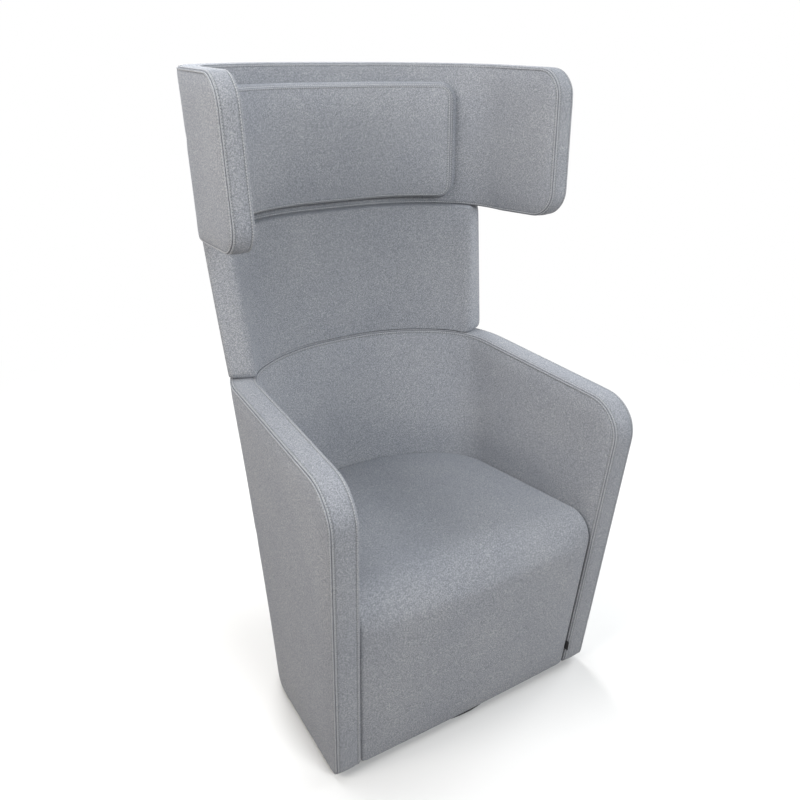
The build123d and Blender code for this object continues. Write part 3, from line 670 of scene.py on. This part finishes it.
# -------- materials
WHITE = (1, 1, 1, 1)
BOUNCE = (0.42, 0.39, 0.36, 1)  # colour of the floor for the light that it throws back


def feed(tree, node, inputs):
    """Gives a node's sockets their values, each a plain value or another node's socket."""
    for name, value in inputs.items():
        if isinstance(value, bpy.types.NodeSocket):
            tree.links.new(value, node.inputs[name])
        else:
            node.inputs[name].default_value = value


def add(tree, kind, inputs, **choices):
    """A new node with its choices and the values of its sockets."""
    node = tree.nodes.new("ShaderNode" + kind)
    for name, value in choices.items():
        setattr(node, name, value)
    feed(tree, node, inputs)
    return node


def fresh(name):
    """A material with its nodes, its shader and its Object coordinates."""
    made = bpy.data.materials.new(name)
    made.use_nodes = True
    tree = made.node_tree
    return made, tree, tree.nodes["Principled BSDF"], add(tree, "TexCoord", {}).outputs["Object"]


def noise(tree, where, scale, detail=2.0, rough=0.5):
    inputs = {"Vector": where, "Scale": scale, "Detail": detail, "Roughness": rough}
    return add(tree, "TexNoise", inputs).outputs["Fac"]


def stretched(tree, where, scale):
    """Coordinates drawn out along an axis, for grain."""
    return add(tree, "Mapping", {"Vector": where, "Scale": scale}).outputs["Vector"]


def ramp(tree, value, *stops):
    """Colours between stops of (place, colour)."""
    node = add(tree, "ValToRGB", {"Fac": value})
    bar = node.color_ramp
    bar.elements[0].position, bar.elements[0].color = stops[0]
    bar.elements[1].position, bar.elements[1].color = stops[-1]
    for place, colour in stops[1:-1]:
        bar.elements.new(place).color = colour
    return node.outputs["Color"]


def shade(colour, factor):
    return tuple(min(1.0, c * factor) for c in colour[:3]) + (1.0,)


def tones(tree, value, colour, *stops):
    """Darker and lighter tones of a colour between stops of (place, factor)."""
    return ramp(tree, value, *((place, shade(colour, factor)) for place, factor in stops))


def blend(tree, how, share, first, second):
    """Mixes two colours. share is a number or a socket."""
    inputs = {0: share, 6: first, 7: second}
    return add(tree, "Mix", inputs, data_type="RGBA", blend_type=how).outputs[2]


def maths(tree, how, first, second, clamp=False):
    return add(tree, "Math", {0: first, 1: second}, operation=how, use_clamp=clamp).outputs[0]


def bumped(tree, shader, height, strength, distance, **under):
    """Gives the shader a bump, over the Normal of another bump where one is given."""
    inputs = {"Height": height, "Strength": strength, "Distance": distance, **under}
    normal = add(tree, "Bump", inputs).outputs["Normal"]
    feed(tree, shader, {"Normal": normal})
    return normal


def in_view(tree):
    """1 for the camera and for mirror images, and 0 for the light that falls on things."""
    rays = add(tree, "LightPath", {}).outputs
    return maths(tree, "MAXIMUM", rays["Is Camera Ray"], rays["Is Glossy Ray"])


def felt_material(colours):
    """Heathered wool felt: light and dark fibres in one blue-grey, with a soft nap. The seam
    attribute lays painted shade in the grooves and stitch valleys, painted highlight on the ridges."""
    made, tree, shader, where = fresh("heathered_felt")
    felt, light = shade(colours.felt, 1.0), shade(colours.felt_light, 1.0)
    fibres = noise(tree, where, 1300, 2.0, 0.6)
    clumps = noise(tree, where, 400, 3.0, 0.7)
    drift = noise(tree, where, 7)
    fine = ramp(tree, fibres, (0.38, shade(colours.felt, 0.50)), (0.5, felt), (0.62, light))
    broad = ramp(tree, clumps, (0.42, shade(colours.felt, 0.60)), (0.5, felt),
                 (0.59, shade(colours.felt_light, 0.97)))
    tone = ramp(tree, drift, (0.3, (0.94, 0.94, 0.95, 1)), (0.7, (1.04, 1.03, 1.02, 1)))
    colour = blend(tree, "MULTIPLY", 1.0, blend(tree, "MIX", 0.5, fine, broad), tone)
    sewn = add(tree, "Attribute", {}, attribute_name="seam").outputs["Fac"]
    # painted shade: the marked grooves and stitch valleys take a darker felt
    colour = blend(tree, "MIX", sewn, colour, shade(colours.felt, 0.25))
    # painted highlight: the ridges beside a seam take the light fibres' colour
    ridge = maths(tree, "MULTIPLY", sewn, -0.35, clamp=True)
    feed(tree, shader, {
        "Base Color": blend(tree, "MIX", ridge, colour, light),
        "Roughness": 0.92,
        "Specular IOR Level": 0.25,
        "Sheen Weight": 0.12,
        "Sheen Roughness": 0.6,
        "Sheen Tint": (0.75, 0.82, 0.95, 1),
    })
    soft = bumped(tree, shader, clumps, 0.25, 0.0006)
    bumped(tree, shader, fibres, 0.25, 0.0003, Normal=soft)
    return made


def mottled(name, colour, clouds, stops, grain, bump, surface):
    """Material with tones of one colour in clouds, and a fine grain. Clouds and grain are given as
    (scale, detail), stops as (place, factor), the bump as (strength, distance)."""
    made, tree, shader, where = fresh(name)
    tone = tones(tree, noise(tree, where, *clouds), colour, *stops)
    feed(tree, shader, {"Base Color": tone, **surface})
    bumped(tree, shader, noise(tree, where, *grain), *bump)
    return made


def thread_material(colours):
    """Twisted sewing thread, a little lighter than the felt."""
    return mottled(
        "sewing_thread", colours.thread, clouds=(2200, 1.0), stops=((0.35, 0.8), (0.7, 1.1)),
        grain=(2200, 1.0), bump=(0.3, 0.0001), surface={"Roughness": 0.6})


def nylon_material(colours):
    """Natural nylon, a little translucent."""
    return mottled(
        "natural_nylon", colours.nylon, clouds=(60, 3.0), stops=((0.3, 0.92), (0.7, 1.03)),
        grain=(700, 1.0), bump=(0.08, 0.0001),
        surface={"Roughness": 0.42, "Subsurface Weight": 0.1})


def rubber_material(colours):
    """Dull black rubber with a bloom."""
    return mottled(
        "pad_rubber", colours.rubber, clouds=(35, 4.0), stops=((0.3, 0.7), (0.75, 1.8)),
        grain=(900, 2.0), bump=(0.3, 0.0002), surface={"Roughness": 0.8})


def powder_coat_material(colours):
    """Fine orange-peel coat with a trace of dust."""
    made, tree, shader, where = fresh("powder_coat")
    dust = noise(tree, where, 18, 4.0)
    feed(tree, shader, {
        "Base Color": tones(tree, dust, colours.powder_coat, (0.35, 0.8), (0.75, 1.7)),
        "Roughness": tones(tree, dust, WHITE, (0.3, 0.42), (0.7, 0.58)),
    })
    bumped(tree, shader, noise(tree, where, 1400), 0.35, 0.0002)
    return made


def zinc_material(colours):
    """Bright zinc plate with a faint spangle and fine rolling lines."""
    made, tree, shader, where = fresh("zinc_plate")
    spangle = noise(tree, where, 90, 3.0)
    lines = noise(tree, stretched(tree, where, (1, 40, 40)), 40)
    feed(tree, shader, {
        "Base Color": tones(tree, spangle, colours.zinc, (0.3, 0.82), (0.7, 1.05)),
        "Roughness": tones(tree, lines, WHITE, (0.3, 0.28), (0.7, 0.45)),
        "Metallic": 1.0,
    })
    bumped(tree, shader, lines, 0.12, 0.0001)
    return made


def wood_material(name, colour, stretch, rings):
    """Wood with its grain drawn out along one axis and darker pores."""
    made, tree, shader, where = fresh(name)
    along = stretched(tree, where, stretch)
    grain = noise(tree, along, 26, 5.0, 0.6)
    pores = noise(tree, along, 160)
    figure = noise(tree, where, rings)
    base = tones(tree, grain, colour, (0.3, 0.66), (0.5, 1.0), (0.75, 1.15))
    dark = ramp(tree, pores, (0.32, (0.62, 0.55, 0.5, 1)), (0.45, WHITE))
    tone = ramp(tree, figure, (0.3, (0.9, 0.88, 0.86, 1)), (0.7, WHITE))
    wood = blend(tree, "MULTIPLY", 1.0, blend(tree, "MULTIPLY", 0.7, base, dark), tone)
    feed(tree, shader, {"Base Color": wood, "Roughness": 0.62})
    bumped(tree, shader, pores, 0.25, 0.0002)
    return made


def cloth_material(colours):
    """Black cloth with a visible weave."""
    made, tree, shader, where = fresh("black_cloth")
    weaves = []
    for stretch in ((1.0, 0.02, 0.02), (0.02, 1.0, 0.02)):
        inputs = {"Vector": stretched(tree, where, stretch), "Scale": 260, "Distortion": 0.6}
        weaves.append(add(tree, "TexWave", inputs).outputs["Color"])
    weave = blend(tree, "LIGHTEN", 0.5, *weaves)
    base = tones(tree, noise(tree, where, 500, 3.0), colours.cloth, (0.3, 0.6), (0.7, 1.8))
    feed(tree, shader, {
        "Base Color": blend(tree, "MULTIPLY", 0.5, base, weave),
        "Roughness": 0.85,
        "Sheen Weight": 0.1,
    })
    bumped(tree, shader, weave, 0.4, 0.0002)
    return made


def floor_material(colours):
    """Plain pale floor that fades into the white surround, and keeps the chair's shadow."""
    made, tree, shader, where = fresh("pale_floor")
    camera_ray = add(tree, "LightPath", {}).outputs["Is Camera Ray"]
    feed(tree, shader, {
        "Base Color": blend(tree, "MIX", camera_ray, BOUNCE, shade(colours.floor, 1.0)),
        "Roughness": 0.9,
        "Specular IOR Level": 0.1,
    })
    reach = add(tree, "VectorMath", {0: where}, operation="LENGTH").outputs["Value"]
    fade = add(tree, "MapRange", {"Value": reach, "From Min": 0.7, "From Max": 2.6},
               interpolation_type="SMOOTHSTEP").outputs["Result"]
    share = maths(tree, "MULTIPLY", in_view(tree), fade)
    white = add(tree, "Emission", {}).outputs[0]
    mix = add(tree, "MixShader", {"Fac": share, 1: shader.outputs[0], 2: white}).outputs[0]
    feed(tree, tree.nodes["Material Output"], {"Surface": mix})
    return made


# -------- settings
def size_property(name, description, default, least, most):
    return FloatProperty(
        name=name, description=description, default=default, min=least, max=most, unit="LENGTH")


def colour_property(name, description, default):
    return FloatVectorProperty(
        name=name, description=description, default=default, subtype="COLOR", size=3, min=0.0,
        max=1.0)


class ChairSizes(bpy.types.PropertyGroup):
    """Sizes of the upholstery work"""

    edge_radius: size_property("Edge radius", "Rounding of the padded edges", 0.0070, 0.003, 0.02)
    seam_width: size_property("Seam width", "Width of a sewn seam's valley", 0.0034, 0.001, 0.01)
    seam_depth: size_property("Seam depth", "Depth of a sewn seam's valley", 0.0030, 0.0, 0.005)
    row_depth: size_property(
        "Row depth", "Depth of the valley that a row of stitches pulls", 0.0015, 0.0, 0.004)
    stitch_length: size_property("Stitch length", "Length of one stitch", 0.0040, 0.001, 0.01)
    stitch_pitch: size_property(
        "Stitch pitch", "Distance from one stitch to the next", 0.0054, 0.002, 0.02)
    stitch_offset: size_property(
        "Stitch offset", "Distance of a row of stitches from its seam", 0.0048, 0.001, 0.01)
    thread_radius: size_property(
        "Thread radius", "Half the thickness of the thread", 0.0007, 0.0002, 0.002)
    plump: size_property(
        "Plumpness", "How far the padding may swell between its seams", 0.004, 0.0, 0.02)
    mesh_step: size_property(
        "Mesh step", "Distance between a cover's rows before it is smoothed", 0.014, 0.008, 0.03)


class ChairColours(bpy.types.PropertyGroup):
    """Colours of the chair's finishes"""

    felt: colour_property("Felt", "Main colour of the wool", (0.245, 0.262, 0.290))
    felt_light: colour_property("Light fibres", "Light fibres in the wool", (0.47, 0.48, 0.50))
    thread: colour_property("Thread", "Sewing thread", (0.50, 0.51, 0.52))
    powder_coat: colour_property("Powder coat", "Base plate", (0.018, 0.018, 0.019))
    zinc: colour_property("Zinc", "Plated steel", (0.60, 0.61, 0.63))
    plywood: colour_property("Plywood", "Boards and moulded cores", (0.50, 0.34, 0.17))
    beech: colour_property("Beech", "Seat frame", (0.55, 0.35, 0.19))
    nylon: colour_property("Nylon", "Bush and ball cage", (0.62, 0.60, 0.54))
    cloth: colour_property("Cloth", "Dust cover, webbing and tab", (0.020, 0.020, 0.021))
    rubber: colour_property("Rubber", "Pad under the base plate", (0.022, 0.022, 0.022))
    floor: colour_property("Floor", "Pale floor", (0.80, 0.80, 0.79))


# -------- the stage
FLOOR_RADIUS = 12.0
# name, place, diameter, watts and tint of each soft lamp
LAMPS = (
    ("key_light", (0.1, -3.1, 2.6), 1.6, 97, (0.96, 0.98, 1.0)),
    ("left_light", (-2.3, -0.3, 1.85), 1.3, 42, (1.0, 0.96, 0.92)),
    ("top_light", (-0.9, 0.6, 3.2), 1.8, 38, (0.97, 0.98, 1.0)),
    ("right_light", (2.9, -0.3, 2.0), 2.0, 64, (0.97, 0.98, 1.0)),
    ("rear_light", (0.6, 2.9, 2.4), 2.0, 95, (1.0, 1.0, 1.0)),
)
LAMP_AIM = (0, 0, 0.75)
AMBIENT = (0.95, 0.97, 1.0, 1)
AMBIENT_STRENGTH = 0.08
CAMERA_PLACE = (-0.9420, -1.3143, 1.4327)
CAMERA_FORWARD = (0.4933, 0.7740, -0.3969)
CAMERA_ROLL = math.radians(1.0)
CAMERA_LENS = 36.12
CAMERA_SHIFT = (0.0303, -0.0214)


class CHAIR_OT_stage(bpy.types.Operator):
    """Sets the pale floor, the soft lights, the white surround and the camera"""

    bl_idname = "chair.stage"
    bl_label = "Stage and camera"

    def execute(self, context):
        unselect()
        bpy.ops.mesh.primitive_circle_add(
            vertices=96, radius=FLOOR_RADIUS, fill_type="NGON", location=(0, 0, 0))
        floor = context.object
        floor.name = "floor"
        floor.data.materials.append(floor_material(context.scene.chair_colours))
        for name, place, size, power, tint in LAMPS:
            bpy.ops.object.light_add(type="AREA", location=place)
            lamp = context.object
            lamp.name = name
            lamp.data.shape = "DISK"
            lamp.data.size = size
            lamp.data.energy = power
            lamp.data.color = tint
            aim = Vector(LAMP_AIM) - Vector(place)
            lamp.rotation_mode = "QUATERNION"
            lamp.rotation_quaternion = aim.to_track_quat("-Z", "Y")
        self.surround(context)
        self.camera(context)
        return {"FINISHED"}

    def surround(self, context):
        """White for the camera and for mirror images, and a faint light on the chair."""
        world = context.scene.world or bpy.data.worlds.new("surround")
        context.scene.world = world
        world.use_nodes = True
        tree = world.node_tree
        tree.nodes.clear()
        ambient = add(tree, "Background", {"Color": AMBIENT, "Strength": AMBIENT_STRENGTH})
        white = add(tree, "Background", {"Color": WHITE})
        inputs = {"Fac": in_view(tree), 1: ambient.outputs[0], 2: white.outputs[0]}
        add(tree, "OutputWorld", {"Surface": add(tree, "MixShader", inputs).outputs[0]})
        context.scene.view_settings.view_transform = "Standard"

    def camera(self, context):
        """The photograph's camera, which leans a little to one side."""
        forward = Vector(CAMERA_FORWARD).normalized()
        level = forward.cross(Vector((0, 0, 1))).normalized()
        upright = level.cross(forward)
        right = level * math.cos(CAMERA_ROLL) + upright * math.sin(CAMERA_ROLL)
        up = upright * math.cos(CAMERA_ROLL) - level * math.sin(CAMERA_ROLL)
        turn = Matrix((right, up, -forward)).transposed().to_4x4()
        bpy.ops.object.camera_add()
        camera = context.object
        camera.name = "camera"
        camera.matrix_world = Matrix.Translation(CAMERA_PLACE) @ turn
        camera.data.sensor_width = 36.0
        camera.data.lens = CAMERA_LENS
        camera.data.shift_x, camera.data.shift_y = CAMERA_SHIFT
        context.scene.camera = camera


# -------- the chair
class CHAIR_OT_finishes(bpy.types.Operator):
    """Makes the felt, thread, metal, wood, cloth and rubber, and finishes the inner pieces"""

    bl_idname = "chair.finishes"
    bl_label = "Finishes"

    def execute(self, context):
        colours = context.scene.chair_colours
        felt_material(colours)
        thread_material(colours)
        finishes = (
            (powder_coat_material(colours), ("base_plate",)),
            (zinc_material(colours), (
                "lower_race", "upper_race", "lower_race_screws", "upper_race_bolts", "centre_stud",
                "stud_washer", "stud_nut", "bearing_balls", "spine_straps", "spine_screws")),
            (nylon_material(colours), ("ball_cage", "centre_bush")),
            (wood_material("moulded_plywood", colours.plywood, (1, 7, 7), 6), (
                "bottom_board", "front_board", "tub_core", "midback_core", "shroud_core",
                "head_pad_board")),
            (wood_material("beech_lengthwise", colours.beech, (9, 1, 9), 9), (
                "side_rail_left", "side_rail_right")),
            (wood_material("beech_crosswise", colours.beech, (1, 9, 9), 9), (
                "rear_rail", "front_rail")),
            (wood_material("beech_upright", colours.beech, (9, 9, 1), 9), ("frame_posts",)),
            (cloth_material(colours), (
                "dust_cover", "webbing_crosswise", "webbing_lengthwise", "seam_tab")),
            (rubber_material(colours), ("floor_pad",)),
        )
        for made, nodes in finishes:
            for node in nodes:
                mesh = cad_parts[node].data
                mesh.materials.clear()
                mesh.materials.append(made)
        return {"FINISHED"}


class CHAIR_OT_tub(bpy.types.Operator):
    """Sews and stuffs the tub: both arms and the lower back, with its edge strip"""

    bl_idname = "chair.tub"
    bl_label = "Tub cover"

    ABOVE_SEAT = (0.42, 0.50)   # the inner faces swell only above the seat
    ABOVE_HEM = (0.03, 0.12)    # and the outer ones above the hem
    INNER_DEPTH = 0.03

    def execute(self, context):
        sizes = context.scene.chair_sizes
        rings, seams = band_rings(-PROUD, ARM_THICKNESS, sizes)
        cover = band_cover("tub_cover", TUB_BAND, rings, seams)
        height = coordinates(cover.piece)[:, 2]
        inside = deeper(cover, TUB, self.INNER_DEPTH)
        clear = smooth_step(height, *self.ABOVE_SEAT)
        plump(cover, sizes.plump, np.where(inside, clear, smooth_step(height, *self.ABOVE_HEM)))
        finish_cover(cover.piece, "tub_upholstery")
        paths = both_rows(cover, -PROUD, ARM_THICKNESS, sizes, hem=False)
        stitch_rows("tub_stitching", cover, paths, sizes)
        return {"FINISHED"}


class CHAIR_OT_midback(bpy.types.Operator):
    """Sews and stuffs the curved panel between the tub and the shroud, with its moulded core"""

    bl_idname = "chair.midback"
    bl_label = "Mid back cover"

    EDGE_RADIUS = 0.015
    SWELL = 0.005               # the farthest that the inner face may swell
    CORE_MARGIN = 0.024         # from the panel's outline to the core's edge
    CORE_EDGE = ((0.0015, 0.0), (0.0005, 0.0005), (0.0, 0.0015))  # rounding, (margin, depth)

    def execute(self, context):
        sizes = context.scene.chair_sizes
        half = quarter(self.EDGE_RADIUS, 6)
        rings = [(m, d - PROUD) for m, d in half] + [(0.0, ARM_THICKNESS / 2)]
        rings += [(m, ARM_THICKNESS - d) for m, d in reversed(half)]
        cover = band_cover("midback_cover", MIDBACK_BAND, rings)
        plump(cover, sizes.plump, np.ones(len(cover.piece.data.vertices)))
        confine(cover, MIDBACK, ALLOWANCE, ARM_THICKNESS + self.SWELL,
                SHOULDER.z + SEAM_GAP, NECK.z)
        finish_cover(cover.piece, "midback_upholstery")
        self.core()
        return {"FINISHED"}

    def core(self):
        """Moulded core, drawn back at its ends as the cover is, with its rounded edges."""
        front, back = CORE_INSET + CORE_THICKNESS, CORE_INSET
        rings = [(self.CORE_MARGIN + m, front - d) for m, d in self.CORE_EDGE]
        rings += [(self.CORE_MARGIN + m, back + d) for m, d in reversed(self.CORE_EDGE)]
        core = band_cover("midback_core_panel", CORE_BAND, rings).piece
        core.data.materials.append(bpy.data.materials["moulded_plywood"])
        take(core)
        bpy.ops.object.shade_smooth_by_angle(angle=math.radians(40))
        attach(core, "chair")
        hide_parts("midback_core")


class CHAIR_OT_shroud(bpy.types.Operator):
    """Sews and stuffs the C-shaped shroud round the head, with its edge strip"""

    bl_idname = "chair.shroud"
    bl_label = "Shroud cover"

    BESIDE_PAD = (0.20, 0.27)   # the inner face doesn't swell behind the head pad
    INNER_DEPTH = 0.02
    SWELL = 0.005
    RISE = 0.004                # the farthest that the upper rim may rise

    def execute(self, context):
        sizes = context.scene.chair_sizes
        rings, seams = band_rings(-PROUD, SHROUD_THICKNESS, sizes)
        cover = band_cover("shroud_cover", SHROUD_BAND, rings, seams)
        inside = deeper(cover, SHROUD, self.INNER_DEPTH)
        beside_pad = 1 - smooth_step(coordinates(cover.piece)[:, 1], *self.BESIDE_PAD)
        plump(cover, sizes.plump, np.where(inside, beside_pad, 1.0))
        confine(cover, SHROUD, ALLOWANCE, SHROUD_THICKNESS + self.SWELL,
                NECK.z + SEAM_GAP, CROWN.z + self.RISE)
        finish_cover(cover.piece, "shroud_upholstery")
        paths = both_rows(cover, -PROUD, SHROUD_THICKNESS, sizes)
        stitch_rows("shroud_stitching", cover, paths, sizes)
        return {"FINISHED"}


class CHAIR_OT_head_pad(bpy.types.Operator):
    """Sews and stuffs the head pad on the inner face of the shroud"""

    bl_idname = "chair.head_pad"
    bl_label = "Head pad"

    # rings: up the undercut side as (margin, height above the shroud), then to the seam and on to
    # the face as (margin, depth below the face)
    SIDE = ((0.008, 0.0), (0.0045, 0.0012), (0.0, 0.007), (0.0035, 0.0135), (0.0085, 0.019))
    BROW = ((0.0132, 0.0062), (0.0146, 0.0042), (0.0160, 0.0028))
    FACE = ((0.0190, 0.0006), (0.0208, 0.0))
    SEAM, ROWS = 8, (5, 11)     # places of the seam and of the stitches among the rings
    FRONT_DEPTH = 0.06
    SWELL = 0.007

    def execute(self, context):
        sizes = context.scene.chair_sizes
        seam = (0.0180, 0.0015 + sizes.seam_depth)
        valley, last = (0.0228, sizes.row_depth), (0.0252, 0.0)
        rings = [(m, PAD_BACK + d) for m, d in self.SIDE]
        rings += [(m, PAD_FACE - d) for m, d in self.BROW + (seam,) + self.FACE + (valley, last)]
        cover = band_cover("head_pad_cover", PAD_BAND, rings, (self.SEAM,))
        front = deeper(cover, SHROUD, self.FRONT_DEPTH)
        plump(cover, sizes.plump * SOFT, np.where(front, 1.0, 0.0))
        confine(cover, SHROUD, PAD_BACK, PAD_FACE + self.SWELL, PAD_BOTTOM, PAD_TOP)
        finish_cover(cover.piece, "head_pad")
        paths = [rim_path(cover, *rings[row]) for row in self.ROWS]
        stitch_rows("head_pad_stitching", cover, paths, sizes)
        return {"FINISHED"}


class CHAIR_OT_seat(bpy.types.Operator):
    """Sews and stuffs the seat, which turns down over its front edge into the apron"""

    bl_idname = "chair.seat"
    bl_label = "Seat cover"

    EDGE_RADIUS = 0.009
    RIM_DEPTHS = (0.020, 0.030, SEAT_PADDING - 0.004)
    UNDERSIDE = ((0.001, 0.001), (0.005, 0.0))  # rounding of the lower edge, (margin, height)

    def execute(self, context):
        sizes = context.scene.chair_sizes
        rings = quarter(self.EDGE_RADIUS, 5) + [(0.0, depth) for depth in self.RIM_DEPTHS]
        rings += [(m, SEAT_PADDING - d) for m, d in self.UNDERSIDE]
        cover = cover_mesh("seat_cover", on_seat, SEAT_SPAN, rings)
        face = np.zeros(len(cover.piece.data.vertices))
        face[: (cover.columns + 1) * (cover.rows + 1)] = 1.0
        plump(cover, sizes.plump * SOFT, face)
        finish_cover(cover.piece, "seat_upholstery")
        return {"FINISHED"}


class CHAIR_PT_panel(bpy.types.Panel):
    """Lists the steps and settings of the chair"""

    bl_idname = "CHAIR_PT_panel"
    bl_label = "Lounge chair"
    bl_space_type = "VIEW_3D"
    bl_region_type = "UI"
    bl_category = "Chair"

    def draw(self, context):
        layout = self.layout
        for step in STEPS:
            layout.operator(step.bl_idname)
        for group in (context.scene.chair_sizes, context.scene.chair_colours):
            box = layout.box()
            for name in group.__annotations__:
                box.prop(group, name)


STEPS = (
    CHAIR_OT_stage, CHAIR_OT_finishes, CHAIR_OT_tub, CHAIR_OT_midback, CHAIR_OT_shroud,
    CHAIR_OT_head_pad, CHAIR_OT_seat,
)
CLASSES = (ChairSizes, ChairColours) + STEPS + (CHAIR_PT_panel,)


def register():
    for each in CLASSES:
        bpy.utils.register_class(each)
    bpy.types.Scene.chair_sizes = PointerProperty(type=ChairSizes)
    bpy.types.Scene.chair_colours = PointerProperty(type=ChairColours)


def unregister():
    del bpy.types.Scene.chair_sizes
    del bpy.types.Scene.chair_colours
    for each in reversed(CLASSES):
        bpy.utils.unregister_class(each)


def main():
    register()
    bpy.ops.chair.stage()
    bpy.ops.chair.finishes()
    bpy.ops.chair.tub()
    bpy.ops.chair.midback()
    bpy.ops.chair.shroud()
    bpy.ops.chair.head_pad()
    bpy.ops.chair.seat()


if __name__ == "__main__":
    main()
